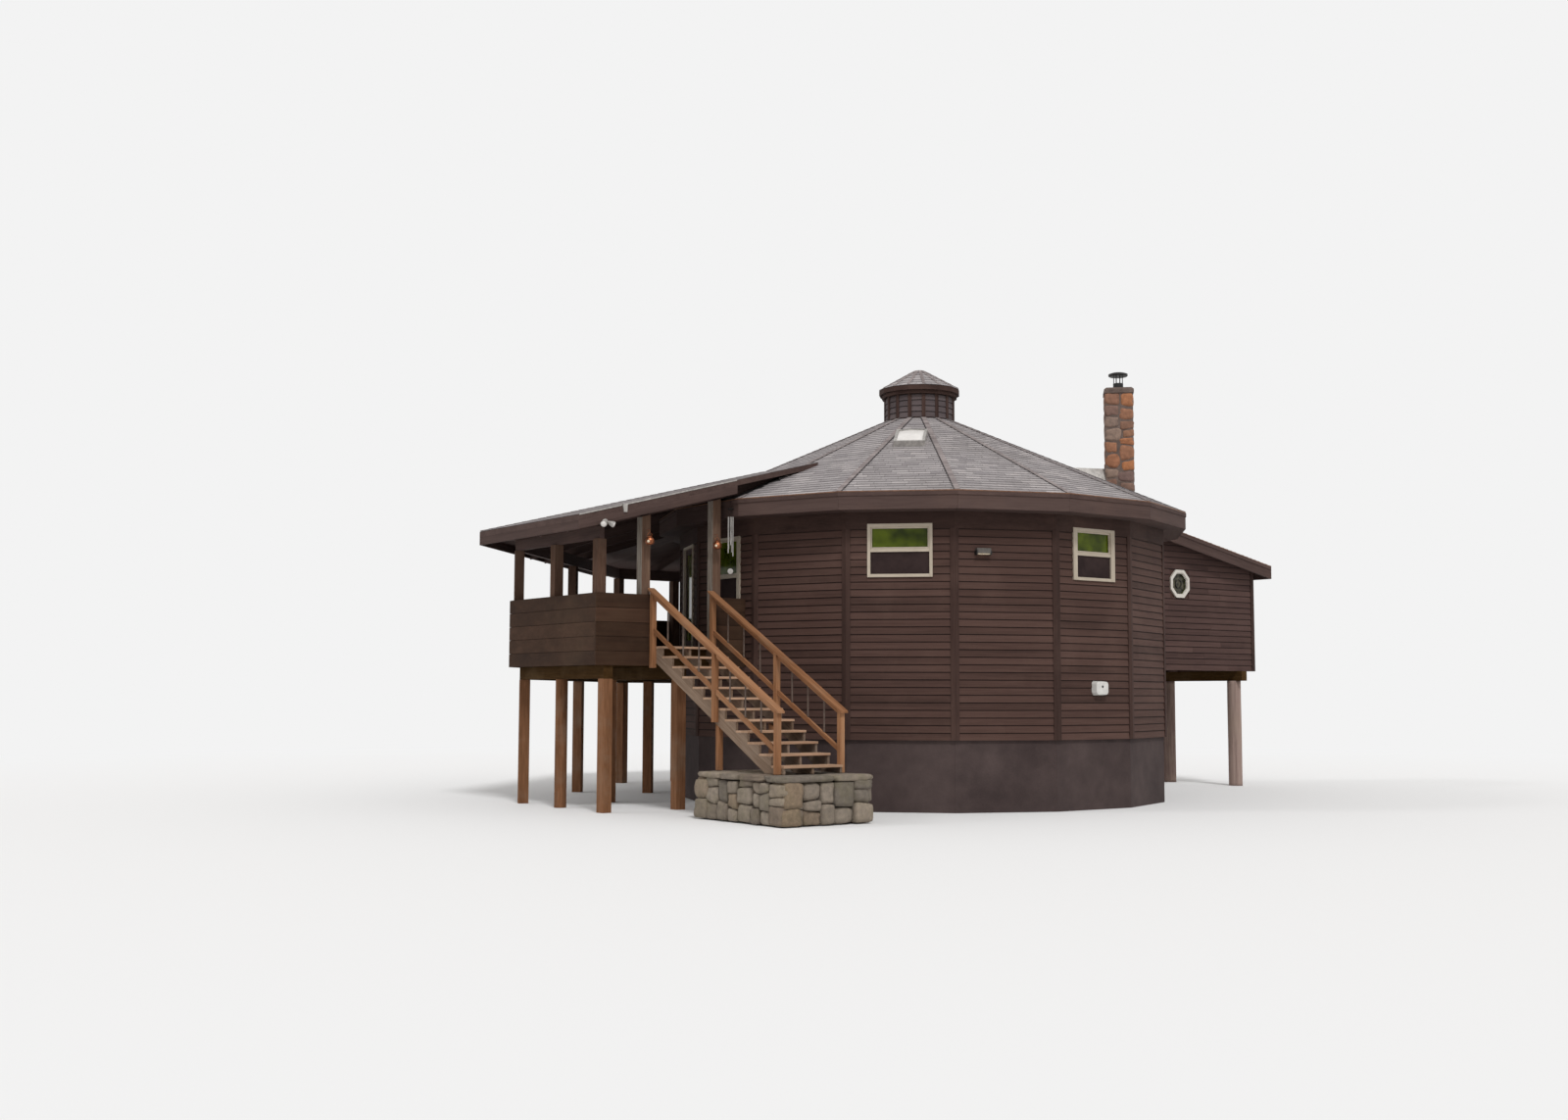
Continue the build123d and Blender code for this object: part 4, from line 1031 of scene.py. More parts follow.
def buildChimney():
    # Each corner is a stack of stones that reach to a wandering joint in the middle of either face
    stones = startPile()
    low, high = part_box("chimney")
    middle = (low + high) / 2
    face = (high.x - low.x) / 2 - chimneyLook["capOver"] + chimneyLook["proud"]
    joint = chimneyLook["joint"]
    for signX, signY in ((-1, -1), (1, -1), (1, 1), (-1, 1)):
        corner = Vector((middle.x + signX * face, middle.y + signY * face, 0))
        for bed, nextBed in stoneBeds(mainHeight(corner) - 0.1, high.z - chimneyLook["cap"], chimneyLook):
            level = (bed[0] + nextBed[0]) / 2
            long = [face - sign * chimneyLook["wander"] * noise.noise(Vector((9 * across, level * 3, 2)))
                    for sign, across in ((signX, signY), (signY, 5 + signX))]
            spotAt = bedded(corner, Vector((-signX * (long[0] - joint / 2), 0, 0)),
                            Vector((0, -signY * (long[1] - joint / 2), 0)),
                            (bed[0] + joint / 2, *bed[1:]), (nextBed[0] - joint / 2, *nextBed[1:]))
            addStone(stones, spotAt, dice.uniform(*chimneyLook["roundness"]))
    finishPile(stones, "chimney_stones", grits["field_stone"], "fieldstone", smooth=True)

    flashing = startPile()
    reach = face + 0.012
    rise = up * chimneyLook["flashing"]
    for turn in (0, 90, 180, 270):
        inward = outward(turn) * -0.03
        spots = [middle + outward(turn) * reach + along(turn) * (reach * (step / 4 - 1)) for step in range(9)]
        feet = [atHeight(spot, mainHeight(spot) + 0.004) for spot in spots]
        for pair in zip(feet, feet[1:]):
            addBlock(flashing, [[foot + inward, foot, foot + rise, foot + rise + inward] for foot in pair],
                     0.5)
    finishPile(flashing, "chimney_flashing", metals["grey_metal"], "dark_metal")

    # Saddle with a level ridge that sheds water from the chimney's uphill side
    saddle = startPile()
    ridge = chimneyLook["saddleTop"]
    turn = chimneyLook["saddleTurn"]
    tip = middle - outward(turn) * ((ridge - 0.02 - mainHeight(middle)) / house["roofSlope"])
    side = along(turn) * 0.01
    ends = []
    for feet, crest in (((Vector((low.x, high.y, 0)), Vector((high.x, low.y, 0))), middle),
                        ((tip + side, tip - side), tip)):
        ends.append([atHeight(foot, mainHeight(foot) + 0.01) for foot in feet] + [atHeight(crest, ridge)])
    addBlock(saddle, ends, 0.5)
    finishPile(saddle, "chimney_saddle", metals["pale_metal"], "skylight_metal")

    hood = startPile()
    foot, top = (corner.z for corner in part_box("flue_cap"))
    centre = atHeight(middle, 0)
    radius, cap, gap = flue["radius"], flue["cap"], flue["gap"]
    addTurned(hood, centre + up * foot, [
        (radius, 0), (radius, top - foot - gap), (radius * 0.86, top - foot - gap + 0.005)], 28, 0.3)
    for number in range(flue["bars"]):
        angle = (number + 0.5) * 2 * pi / flue["bars"]
        spot = centre + Vector((cos(angle), sin(angle), 0)) * (radius - 0.008)
        addTube(hood, [spot + up * (top - gap - 0.01), spot + up * (top - 0.07)], 0.007, 6, 0.3)
    addTurned(hood, centre + up * (top - 0.08), [
        (cap * 0.9, 0), (cap, 0.012), (cap, 0.05), (cap * 0.7, 0.072), (0.03, 0.08)], 28, 0.6)
    finishPile(hood, "flue_and_hood", metals["black_metal"], "dark_metal", ("flue_cap",))


# Windows: casings, sashes and insect screens, and a milky skylight
sash = {"rim": 0.03, "deep": 0.022, "frame": 0.055, "proud": 0.02, "casing": 0.02, "beyond": 0.045,
        "screen": 0.004, "back": -0.022, "step": 0.014}
dome = {"steps": 10, "rise": 0.05, "lift": 0.012, "overSide": 0.02, "overEnd": 0.01, "thick": 0.005}


def windowRim(pile, turn, face, width, foot, head, rim, thick, tone):
    # Four flat boards round a rectangle, given by its outer size
    half = width / 2
    for left, right, low, high in ((-half, -half + rim, foot, head), (half - rim, half, foot, head),
                                   (-half + rim, half - rim, foot, foot + rim),
                                   (-half + rim, half - rim, head - rim, head)):
        flatBoard(pile, turn, face, left, right, low, high, thick, tone)


def buildWindows():
    sashes, screens = startPile(), startPile()
    face = house["wallFace"]
    front = face + sash["proud"] - 0.001
    frameWide = sash["frame"]
    for turn, (width, sill, tall) in windowPlan.items():
        tone = dice.random()
        half = width / 2
        head = sill + tall
        windowRim(sashes, turn, front, width, sill, head, frameWide, sash["casing"], tone)
        if width < 1:
            for left, right in ((-half - sash["beyond"], -half), (half, half + sash["beyond"])):
                flatBoard(sashes, turn, face, left, right, sill, head, sash["proud"] + sash["casing"], tone)
        if turn == doorPlan["turn"]:
            continue
        light = (tall - 3 * frameWide) / 2
        inner = width - 2 * frameWide
        for number in range(2):
            foot = sill + frameWide + number * (light + frameWide)
            back = face + sash["back"] + number * sash["step"]
            windowRim(sashes, turn, back, inner, foot, foot + light, sash["rim"], sash["deep"], tone)
        middle = sill + tall / 2
        flatBoard(sashes, turn, front, -inner / 2, inner / 2, middle - frameWide / 2, middle + frameWide / 2,
                  sash["casing"] * 0.6, tone)
        flatBoard(screens, turn, face + 0.004, -inner / 2 + 0.002, inner / 2 - 0.002, sill + frameWide,
                  sill + frameWide + light, sash["screen"], 0.5)
    finishPile(sashes, "window_casings_and_sashes", woods["cream_paint"], "cream_paint", bevel=0.002)
    finishPile(screens, "insect_screens", metals["insect_mesh"], "dark_metal")


def buildOctagon():
    # Eight-sided window in the wing: a white rim and a plain round bar in the glass
    rim, bars, pane = startPile(), startPile(), startPile()
    turn = wing["turn"] - 90
    centre = place(turn, wing["half"], octagon["reach"], octagonHeight)
    glassEdge = octagon["half"] - octagon["rim"]
    for pile, sides, inner, outer, back, front in (
            (rim, 8, glassEdge, octagon["half"], 0.019, 0.045),
            (rim, 8, glassEdge - octagon["step"], glassEdge, 0.0, 0.03),
            (bars, 24, *octagon["ring"], -0.02, -0.004),
            (pane, 8, 0.004, glassEdge - 0.018, -0.032, -0.026)):
        for side in range(sides):
            ends = []
            for angle in (2 * pi * (side - 0.5) / sides, 2 * pi * (side + 0.5) / sides):
                ray = (along(turn) * sin(angle) + up * cos(angle)) / cos(pi / sides)
                ends.append([centre + ray * reach + outward(turn) * depth
                             for reach, depth in rectangle(inner, outer, back, front)])
            addBlock(pile, ends, 0.5)
    finishPile(rim, "octagon_rim", woods["white_paint"], "cream_paint")
    finishPile(bars, "octagon_glass_bars", metals["black_metal"], "dark_metal")
    finishPile(pane, "octagon_pane", octagonGlass, "glass")


def buildSkylight():
    pile = startPile()
    low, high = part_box("skylight_glass")
    roofSlope = mainSides[0]["slope"]
    steps = dome["steps"]
    level = Vector((1, 0, 0))
    slope = Vector((0, 1, roofSlope)).normalized()
    normal = level.cross(slope)
    centre = (low + high) / 2
    halfWide = (high.x - low.x) / 2 + dome["overSide"]
    halfLong = (high.y - low.y) / 2 * hypot(1, roofSlope) + dome["overEnd"]
    for row in range(steps + 1):
        for column in range(steps + 1):
            u, v = 2 * column / steps - 1, 2 * row / steps - 1
            lift = dome["rise"] * (1 - abs(u) ** 3) * (1 - abs(v) ** 3) + dome["lift"]
            point = centre + level * u * halfWide + slope * v * halfLong + normal * lift
            addPoint(pile, point, Vector((u, v, 0)), 0.5)
    for row in range(steps):
        for column in range(steps):
            corner = row * (steps + 1) + column
            pile["faces"].append([corner, corner + 1, corner + steps + 2, corner + steps + 1])
    piece = finishPile(pile, "skylight_dome", metals["milky_plastic"], "glass", ("skylight_glass",),
                       smooth=True)
    shell = piece.modifiers.new("pane", "SOLIDIFY")
    shell.thickness = dome["thick"]
    shell.offset = -1


# Cupola: small clapboards, corner boards and a shingled cap with a two-step eave; reveal, lower and upper
# are heights above the wall's top
cupola = {"courses": 4, "post": 0.032, "postThick": 0.03, "crown": 0.1, "tab": 0.22, "hip": 0.03,
          "step": 0.05, "reveal": 0.035, "lower": 0.105, "upper": 0.2, "raise": 0.03}


def buildCupola():
    boards, trims, tabs, caps = startPile(), startPile(), startPile(), startPile()
    face = -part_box("cupola_wall")[0].y
    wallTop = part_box("cupola_wall")[1].z
    half = face * mitre
    post, front = half - cupola["post"], face + cupola["postThick"]
    foot = mainHeight(place(0, face)) + 0.02
    top = wallTop + cupola["reveal"]
    course = (top - foot) / cupola["courses"]
    for turn in sideTurns:
        for number in range(cupola["courses"]):
            low = foot + number * course
            clapboard(boards, turn, face, 0.004 - half, half - 0.004, low, min(low + course + 0.015, top),
                      low, course)
        for hand in (-1, 1):
            outline = [place(turn, distance, hand * shift, foot) for distance, shift in (
                (face, post), (front, post), (front, front * mitre), (face, half))]
            extrude(trims, outline, up * (top - foot))

    eaves, peak, roofDeck = startPile(), startPile(), startPile()
    capLow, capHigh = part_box("cupola_roof")
    edge = -capLow.y
    height = wallTop + cupola["upper"]
    lower = wallTop + cupola["lower"]
    for turn in sideTurns:
        for reach, low, high in ((edge - cupola["step"], top, lower), (edge, lower, height)):
            mitredBoard(eaves, turn, face - 0.05, reach, low, high)
    finishPile(eaves, "cupola_eaves", woods["corner_stain"], "dark_trim", ("cupola_roof",), bevel=0.002)
    slope = (capHigh.z + cupola["raise"] - height) / (edge - 0.108)
    addTurned(peak, up * (height + slope * (edge - 0.13)), [
        (0.125, 0), (0.12, 0.02), (0.05, 0.045), (0.01, 0.05)], 16, 0.5)
    finishPile(peak, "cupola_peak", grits["hip_shingles"], "shingles")
    crown = cupola["crown"]
    for turn in sideTurns:
        ends = []
        for hand in (-1, 1):
            near = place(turn, edge - 0.01, hand * (edge - 0.01) * mitre, height - 0.02)
            far = place(turn, crown, hand * crown * mitre, height + slope * (edge - crown) - 0.02)
            ends.append([near, near + up * 0.018, far + up * 0.018, far])
        addBlock(roofDeck, ends, 0.5)
    finishPile(roofDeck, "cupola_roof_deck", grits["roof_felt_and_painted_shadow"], "shingles")
    sides = [roofSide(turn, edge, height, slope, (0, -mitre), (0, mitre)) for turn in sideTurns]
    for number, side in enumerate(sides):
        layShingles(tabs, side, edge - 0.11, (), tab=cupola["tab"])
        layHip(caps, side, sides[(number + 1) % len(sides)], edge - 0.11, (), flap=cupola["hip"])
    finishPile(boards, "cupola_clapboards", woods["cupola_stain"], "siding")
    finishPile(trims, "cupola_corner_boards", woods["corner_stain"], "siding")
    finishPile(tabs, "cupola_shingles", grits["roof_shingles"], "shingles")
    finishPile(caps, "cupola_hip_caps", grits["hip_shingles"], "shingles")


# Deck: guard boards, floor boards
guard = {"boards": 5, "foot": 2.54, "head": 3.798, "thick": 0.04, "gap": 0.007, "backing": 0.4,
         "join": 0.001, "postGap": 0.002}
floorBoards = {"wide": 0.14, "gap": 0.006, "thick": 0.006, "join": 0.002}
deckSides = ((-45, deck["reach"], (mitreOffset, -deckMitre), (deck["end"], 0)),
             (-90, deck["left"], (-mitreOffset, -deckMitre), (mitreOffset, deckMitre)),
             (-135, deck["reach"], (-deck["end"], 0), (-mitreOffset, deckMitre)))


def guardBoards(pile, near, far):
    # near and far are (inner, outer) points in plan; a dark backing closes the gaps between the boards
    tall = (guard["head"] - guard["foot"]) / guard["boards"]
    layers = [(guard["foot"], guard["head"] - 0.001, 0, guard["backing"], 0.2)]
    for number in range(guard["boards"]):
        low = guard["foot"] + number * tall
        layers.append((low, low + tall - guard["gap"], guard["backing"], 1, None))
    for low, high, start, end, tone in layers:
        addBlock(pile, [[inner.lerp(outer, part) + up * height
                         for part, height in rectangle(start, end, low, high)]
                        for inner, outer in (near, far)], tone)


def buildGuards():
    pile = startPile()
    thick = guard["thick"]
    for turn, reach, left, right in deckSides:
        ends = []
        for (offset, spread), hand in ((left, 1), (right, -1)):
            trim = guard["join"] if spread else thick + 0.002
            ends.append([place(turn, distance, offset + spread * distance + hand * trim)
                         for distance in (reach - thick, reach)])
        guardBoards(pile, *ends)
    wallGap = house["wallFace"] + 0.022
    postSide = deck["postHalf"] - guard["postGap"]
    for turn, hand, near, far in ((-45, 1, stairPosts[0] - postSide, deck["reach"]),
                                  (-45, 1, wallGap, stairPosts[1] + postSide),
                                  (-135, -1, wallGap, deck["reach"])):
        guardBoards(pile, *([place(turn, distance, hand * (deck["end"] - depth)) for depth in (thick, 0)]
                            for distance in (near, far)))
    finishPile(pile, "guard_boards", woods["guard_stain"], "dark_trim", ("deck_guards",), bevel=0.002)


def buildFloorBoards():
    pile = startPile()
    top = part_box("deck_floor")[1].z
    for turn, reach, left, right in deckSides:
        outer = reach - guard["thick"] - 0.001
        head = top + floorBoards["thick"]
        while outer > house["wallFace"] + 0.03:
            inner = max(outer - floorBoards["wide"], house["wallFace"] + 0.025)
            ends = []
            for (offset, spread), hand in ((left, 1), (right, -1)):
                trim = floorBoards["join"] if spread else guard["thick"] + 0.001
                ends.append([place(turn, distance, offset + spread * distance + hand * trim, height)
                             for distance, height in rectangle(inner, outer, top, head)])
            addBlock(pile, ends)
            outer -= floorBoards["wide"] + floorBoards["gap"]
    finishPile(pile, "deck_boards", woods["weathered_boards"], "deck_wood")


# Dry-laid stones under the foot of the stair
base = {"turn": -45, "near": 5.29, "far": 7.12, "from": 2.517, "to": 5.017, "rows": (0.2, 0.34),
        "leastTop": 0.14, "long": (0.22, 0.42), "slab": (0.45, 0.8), "slabThick": 0.09, "slabGap": 0.008,
        "slabRoundness": 9, "slabSunk": 0.012, "deep": 0.36, "tilt": 0.06, "sunk": 0.05, "setback": 0.06,
        "gap": 0.005, "roundness": (4.5, 11), "ground": 0.016, "fill": (1, 0.66)}


def buildBase():
    stones, core = startPile(), startPile()
    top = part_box("stair_base")[1].z
    inner, side = outward(base["turn"]), along(base["turn"])
    under = top - base["slabThick"]
    nearSide, farSide = inner * base["near"], inner * base["far"]
    start, end = side * base["from"], side * base["to"]
    across, deep = base["to"] - base["from"], base["far"] - base["near"]
    for run, inward, corner, long in (
            (side, inner, nearSide + start, across), (side, -inner, farSide + start, across),
            (inner, side, nearSide + start, deep), (inner, -side, nearSide + end, deep)):
        for spot, wide in lengthsOf(0, long, base["long"]):
            for bed, nextBed in stoneBeds(base["ground"], under, base):
                setback = inward * dice.uniform(0, base["setback"])
                spotAt = bedded(corner + run * (spot + base["gap"]) + setback, run * (wide - 2 * base["gap"]),
                                inward * base["deep"], bed, nextBed)
                addStone(stones, spotAt, dice.uniform(*base["roundness"]))
    gap = base["slabGap"]
    for spot, long in lengthsOf(base["from"], base["to"], base["slab"]):
        for distance, wide in lengthsOf(base["near"], base["far"], base["slab"]):
            sunk = dice.uniform(0, base["slabSunk"])
            spotAt = bedded(inner * (distance + gap) + side * (spot + gap), side * (long - 2 * gap),
                            inner * (wide - 2 * gap), (under - 0.02, 0, 0), (top - sunk, 0, 0))
            addStone(stones, spotAt, base["slabRoundness"])
    middle = (nearSide + farSide + start + end) / 2
    halfSide, halfIn = base["fill"]
    extrude(core, [middle + side * x * halfSide + inner * y * halfIn
                   for x, y in ((-1, -1), (1, -1), (1, 1), (-1, 1))], up * (under - 0.03))
    finishPile(stones, "stair_base_stones", grits["dry_stone"], "dry_stone", ("stair_base",), smooth=True)
    finishPile(core, "stair_base_fill", grits["mortar"], "dry_stone")


# Log posts with drying cracks
logs = {"radius": 0.16, "distance": wing["end"] - 0.51, "shift": 0.97, "rings": 36, "steps": 40,
        "thinner": 0.955, "lumps": 0.04, "cracks": (0.7, 2.9, 4.6), "crackWander": 0.12, "crackWide": 0.07,
        "crackDeep": 0.022}


def addLog(pile, foot, top):
    first = len(pile["points"])
    stray = dice.uniform(0, 50)
    tone = dice.random()
    for ring in range(logs["rings"] + 1):
        height = foot.z + (top - foot.z) * ring / logs["rings"]
        for step in range(logs["steps"]):
            angle = 2 * pi * step / logs["steps"]
            lump = noise.noise(Vector((cos(angle), sin(angle), height * 0.7 + stray)))
            size = logs["radius"] * (logs["thinner"] + logs["lumps"] * lump)
            for number, crack in enumerate(logs["cracks"]):
                stroll = noise.noise(Vector((height * 1.3, stray + number, 0)))
                gap = abs((angle - crack - logs["crackWander"] * stroll + pi) % (2 * pi) - pi)
                size -= logs["crackDeep"] * max(0, 1 - gap / logs["crackWide"])
            addPoint(pile, Vector((foot.x + cos(angle) * size, foot.y + sin(angle) * size, height)),
                     Vector((height, angle * logs["radius"], stray)), tone)
    closeRings(pile, first, logs["rings"] + 1, logs["steps"])


def buildLogs():
    pile = startPile()
    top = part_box("wing_posts")[1].z
    for hand in (-1, 1):
        addLog(pile, place(wing["turn"], logs["distance"], hand * logs["shift"]), top)
    finishPile(pile, "log_posts", woods["peeled_logs"], "log", ("wing_posts",), smooth=True)


# Small fittings: lanterns, floodlight, wind chime, lamp, exhaust hood, edge strips and the door's knob
fittings = {
    "lanterns": (6.93, 5.5), "lanternShift": 0.765, "lanternFoot": 4.665, "lanternHook": 0.097,
    "floodlight": (7.99, 1.02, 4.98), "aim": (0.8, 0.9, 0.55),
    "chime": (5.28, 0.867, 5.4), "chimeTubes": (0.72, 0.64, 0.58, 0.66, 0.52), "chimeCord": 0.14,
    "chimeRound": 0.045, "chimeSail": 1.13,
    "lamp": (22.5, -0.44, 4.55), "lampHalf": 0.14, "lampCheek": 0.016,
    "hood": (45, 0.08, 2.17), "hoodHalf": (0.17, 0.13), "hoodRound": 0.06, "hoodDeep": 0.1, "hoodTaper": 0.88,
    "cleat": (7.55, 0.1, 0.15), "strip": 0.022, "drip": 0.018,
}
lanternForm = [(0.03, 0), (0.066, 0.012), (0.082, 0.05), (0.082, 0.08), (0.066, 0.115), (0.044, 0.135),
               (0.05, 0.148), (0.03, 0.158), (0.012, 0.175)]
socketForm = [(0.036, 0), (0.036, 0.022), (0.03, 0.024)]
floodForm = [(0.02, 0), (0.028, 0.02), (0.05, 0.09), (0.056, 0.12), (0.05, 0.121)]
lensForm = [(0.047, 0), (0.045, 0.012), (0.02, 0.02), (0.002, 0.022)]
sailForm = [(0.05, -0.003), (0.05, 0.003), (0.02, 0.004)]
knobForm = [(0.028, 0), (0.028, 0.006), (0.011, 0.01), (0.011, 0.03), (0.026, 0.04), (0.029, 0.052),
            (0.02, 0.066)]


def ballProfile(radius, steps=8):
    return [(max(0.001, radius * sin(pi * step / steps)), radius * (1 - cos(pi * step / steps)))
            for step in range(steps + 1)]


def arcPoints(centre, first, second, radius, start, finish, steps=8):
    angles = [start + (finish - start) * step / steps for step in range(steps + 1)]
    return [centre + first * (radius * cos(angle)) + second * (radius * sin(angle)) for angle in angles]


def buildLanterns():
    copper, bulbs = startPile(), startPile()
    toward = Vector((0, -1, 0))
    for distance in fittings["lanterns"]:
        foot = place(-45, distance, fittings["lanternShift"], fittings["lanternFoot"])
        socket = foot + up * 0.055
        addTurned(copper, foot, lanternForm, 24, 0.5)
        addTurned(copper, socket + toward * 0.07, socketForm, 18, 0.3, toward)
        addTurned(bulbs, socket + toward * 0.08, ballProfile(0.026), 16, 0.5, toward)
        crown = foot + up * 0.17
        addTube(copper, arcPoints(crown, outward(-45), up, 0.045, 0, pi), 0.005, 8, 0.7)
        wall = along(-45) * -fittings["lanternHook"]
        hook = crown + up * 0.07 + wall * 0.3
        bend = arcPoints(hook, -wall.normalized(), up, 0.03, -pi / 2, pi / 2)
        addTube(copper, bend + [crown + wall + up * 0.1], 0.005, 8, 0.2)
    finishPile(copper, "copper_lanterns", metals["copper"], "dark_metal", bevel=0.001)
    finishPile(bulbs, "lantern_bulbs", metals["bulb"], "glass", smooth=True)


def buildFloodlight():
    body, lenses = startPile(), startPile()
    distance, shift, height = fittings["floodlight"]
    plate = place(-45, distance, shift, height)
    outOf = along(-45)
    sideways, forward, down = fittings["aim"]
    addTurned(body, plate, [(0.055, 0), (0.055, 0.025), (0.03, 0.03)], 20, 0.5, outOf)
    for hand in (-1, 1):
        aim = (outward(-45) * hand * sideways + outOf * forward - up * down).normalized()
        neck = plate + outOf * 0.03 + outward(-45) * hand * 0.03
        back = neck + outOf * 0.03
        addTube(body, [neck - outOf * 0.012, back], 0.012, 8, 0.4)
        addTurned(body, back, floodForm, 20, 0.5, aim)
        addTurned(lenses, back + aim * 0.112, lensForm, 20, 0.5, aim)
    finishPile(body, "floodlight", metals["pale_metal"], "skylight_metal", bevel=0.001)
    finishPile(lenses, "floodlight_lenses", metals["milky_plastic"], "glass", smooth=True)


def buildChime():
    parts, cords = startPile(), startPile()
    distance, shift, height = fittings["chime"]
    head = place(-45, distance, shift, height)
    cord = fittings["chimeCord"]
    addTurned(cords, head, [(0.055, 0), (0.06, 0.006), (0.05, 0.016), (0.01, 0.018)], 20, 0.5)
    addTube(cords, [head + up * 0.01, head + up * 0.44], 0.002, 6, 0.5)
    for number, long in enumerate(fittings["chimeTubes"]):
        angle = 2 * pi * number / len(fittings["chimeTubes"])
        spot = head + Vector((cos(angle), sin(angle), 0)) * fittings["chimeRound"]
        addTube(cords, [spot + up * 0.002, spot - up * (cord + 0.005)], 0.0015, 6, 0.5)
        addTube(parts, [spot - up * cord, spot - up * (cord + long)], 0.011, 12, dice.random())
    addTube(cords, [head, head - up * 1.06], 0.0015, 6, 0.5)
    addTurned(cords, head - up * 0.42, [(0.03, 0), (0.03, 0.012), (0.01, 0.013)], 18, 0.2)
    addTurned(parts, head - up * fittings["chimeSail"], sailForm, 20, 0.6, Vector((0.3, -1, 0)).normalized())
    finishPile(parts, "wind_chime_tubes", metals["pale_metal"], "skylight_metal")
    finishPile(cords, "wind_chime_cords", metals["black_metal"], "dark_metal")


def buildWallFittings():
    white, dark, lens, hood = startPile(), startPile(), startPile(), startPile()
    face = house["wallFace"] + siding["butt"]
    back = face - 0.015
    turn, shift, height = fittings["lamp"]
    half, cheek = fittings["lampHalf"], fittings["lampCheek"]
    for pile, reach, foot, head, deep in ((hood, half - 0.01, -0.03, 0.06, 0.12),
                                          (lens, half - 0.02, -0.05, -0.031, 0.1)):
        flatBoard(pile, turn, back, shift - reach, shift + reach, height + foot, height + head, deep, 0.5)
    for left in (shift - half, shift + half - cheek):
        flatBoard(dark, turn, back, left, left + cheek, height - 0.06, height + 0.02, 0.13, 0.5)
    finishPile(hood, "wall_lamp_hood", metals["grey_metal"], "dark_metal", bevel=0.004)

    turn, shift, height = fittings["hood"]
    corner, deep = fittings["hoodRound"], fittings["hoodDeep"]
    wide, tall = (reach - corner for reach in fittings["hoodHalf"])
    outline = []
    for step in range(28):
        angle = 2 * pi * (step + 0.5) / 28
        outline.append((wide * (1 if cos(angle) > 0 else -1) + corner * cos(angle),
                        tall * (1 if sin(angle) > 0 else -1) + corner * sin(angle)))
    addBlock(white, [[place(turn, face + depth, shift + across * scale, height + rise * scale)
                      for across, rise in outline]
                     for depth, scale in ((-0.02, 1), (deep, fittings["hoodTaper"]))], 0.5)
    addTurned(dark, place(turn, face + deep - 0.004, shift, height + tall * 0.4),
              [(0.022, 0), (0.022, 0.008), (0.01, 0.009)], 14, 0.5, outward(turn))

    turn = doorPlan["turn"]
    knob = place(turn, house["wallFace"] - doorPlan["leafBack"], doorPlan["knobShift"],
                 house["floorTop"] + doorPlan["knobHeight"])
    addTurned(dark, knob, knobForm, 18, 0.5, outward(turn))
    finishPile(white, "exhaust_hood", metals["white_plastic"], "skylight_metal", bevel=0.006)
    finishPile(dark, "wall_lamp_and_door_knob", metals["black_metal"], "dark_metal")
    finishPile(lens, "wall_lamp_lens", metals["bulb"], "glass", bevel=0.003)


def edgeStrip(pile, spots, out, tall, thick, tone=0.5):
    # A thin strip from one spot to another, standing on its outer face
    addBlock(pile, [[spot, spot + out * thick, spot + out * thick + up * tall, spot + up * tall]
                    for spot in spots], tone)


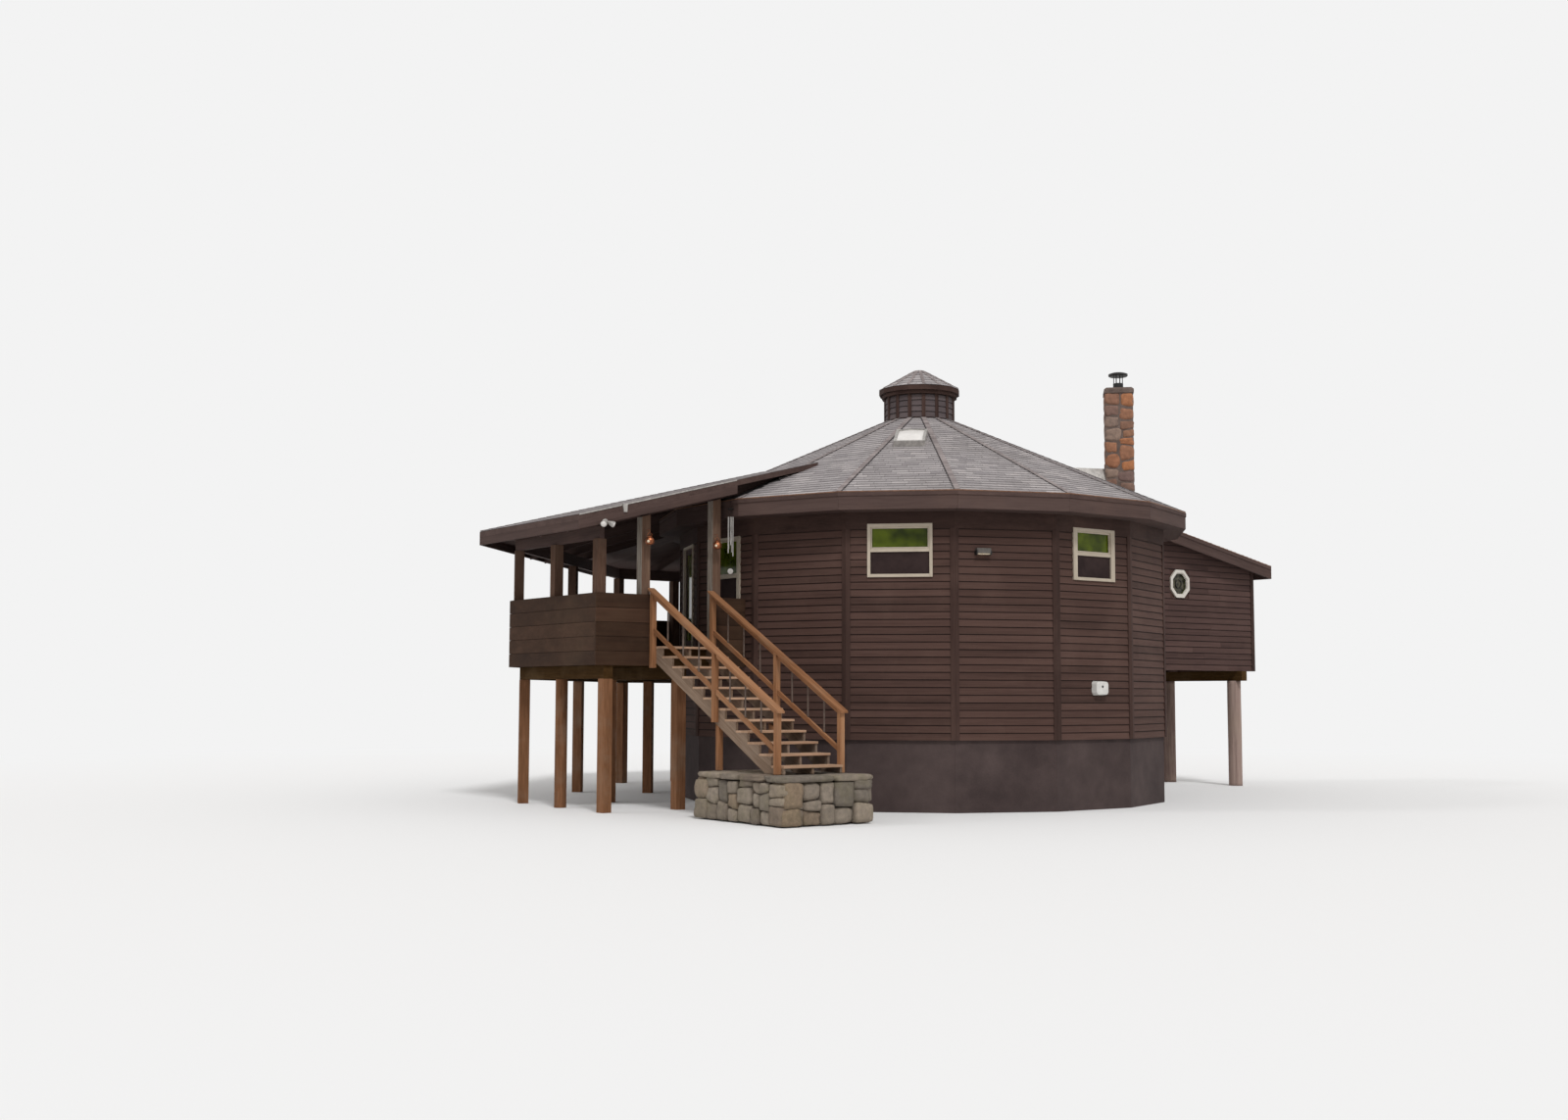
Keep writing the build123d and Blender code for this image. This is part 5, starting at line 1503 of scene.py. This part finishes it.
def buildEdges():
    drip, pale, boards = startPile(), startPile(), startPile()
    face, top = house["eaveFace"], house["eaveTop"]
    for turn in sideTurns:
        mitredBoard(drip, turn, face, face + 0.008, top - 0.004, top - 0.004 + fittings["drip"])
        mitredBoard(boards, turn, face, face + 0.014, top - 0.075, top - 0.007)
    for hand, side in ((1, porchSides[0]), (-1, porchSides[2])):
        spots = [onSide(side, inset, hand * porchEnd, -0.012) for inset in (0, side["edge"] - face - 0.02)]
        edgeStrip(pale, spots, along(side["turn"]) * hand, fittings["strip"], 0.008)

    side = porchSides[0]
    distance, wide, tall = fittings["cleat"]
    head = onSide(side, side["edge"] - distance, porchEnd, 0.005)
    run = outward(side["turn"]) * wide
    extrude(pale, [head, head + run, head + run * 0.7 - up * tall, head + run * 0.1 - up * tall],
            along(side["turn"]) * 0.03, 0.9)
    side = wingSides[0]
    for hand in (-1, 1):
        spots = [onSide(side, inset, hand * (wing["roofHalf"] + 0.0005), -0.085)
                 for inset in (0.03, wing["roofEnd"] - face - 0.01)]
        edgeStrip(boards, spots, along(side["turn"]) * hand, 0.07, 0.016, 0.7)
        edgeStrip(drip, [spot + up * 0.07 for spot in spots], along(side["turn"]) * hand, 0.014, 0.02)
    finishPile(drip, "drip_edges", metals["drip_metal"], "dark_metal")
    finishPile(pale, "porch_edge_metal", metals["pale_metal"], "skylight_metal")
    finishPile(boards, "edge_mouldings", woods["trim_stain"], "dark_trim", bevel=0.002)


buildLanterns()
buildFloodlight()
buildChime()
buildWallFittings()
buildEdges()
print("small fittings hung")
buildChimney()
buildWindows()
buildOctagon()
buildSkylight()
buildCupola()
buildGuards()
buildFloorBoards()
buildBase()
buildLogs()
print("chimney, windows, cupola, deck, base and logs built")

# Lumber taken from the frame, each stick with its own grain
for finish, slot, nodes in (
        ("trim_stain", "dark_trim", ("eave_fascia", "eave_soffit", "porch_plates", "porch_rafters",
                                     "porch_fascia", "wing_rakes", "deck_door")),
        ("weathered_boards", "new_lumber", ("stair_stringers",)),
        ("tread_lumber", "new_lumber", ("stair_treads",)),
        ("new_lumber", "new_lumber", ("stair_newels", "stair_rails")),
        ("dark_beams", "deck_wood", ("deck_joists",)),
        ("dark_beams", "old_timber", ("deck_beams",)),
        ("weathered_legs", "old_timber", ("deck_legs",)),
        ("dark_beams", "old_timber", ("wing_beam",)),
        ("cream_paint", "cream_paint", ("window_frames", "door_frame"))):
    for node in nodes:
        dressLumber(node, woods[finish], slot)


def postTone(spot):
    # 1 for the two posts beside the stair, which the weather has bleached
    distance = spot.dot(outward(-45))
    byStair = min(abs(distance - post) for post in stairPosts) < 0.1 and spot.dot(along(-45)) > 0
    return 1.0 if byStair else dice.uniform(0.0, 0.9)


dressLumber("porch_posts", woods["weathered_posts"], "dark_trim", postTone)

# Finishes for the nodes that stay as they are
finishes = {
    "foundation": grits["painted_concrete"], "chimney": grits["mortar"], "main_roof": grits["roof_felt_and_painted_shadow"],
    "skylight_frame": metals["pale_metal"], "stair_balusters": metals["worn_iron"], "window_glass": glass,
}
for name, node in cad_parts.items():
    if name.endswith("_wall"):
        finishes[name] = woods["wall_boards"]
    elif name in ("cupola_roof", "porch_roof", "wing_roof"):
        finishes[name] = woods["ceiling_boards"]
    elif name.endswith("_floor"):
        finishes[name] = woods["floor_wood"]
    if name in finishes:
        node.data.materials.clear()
        node.data.materials.append(finishes[name])
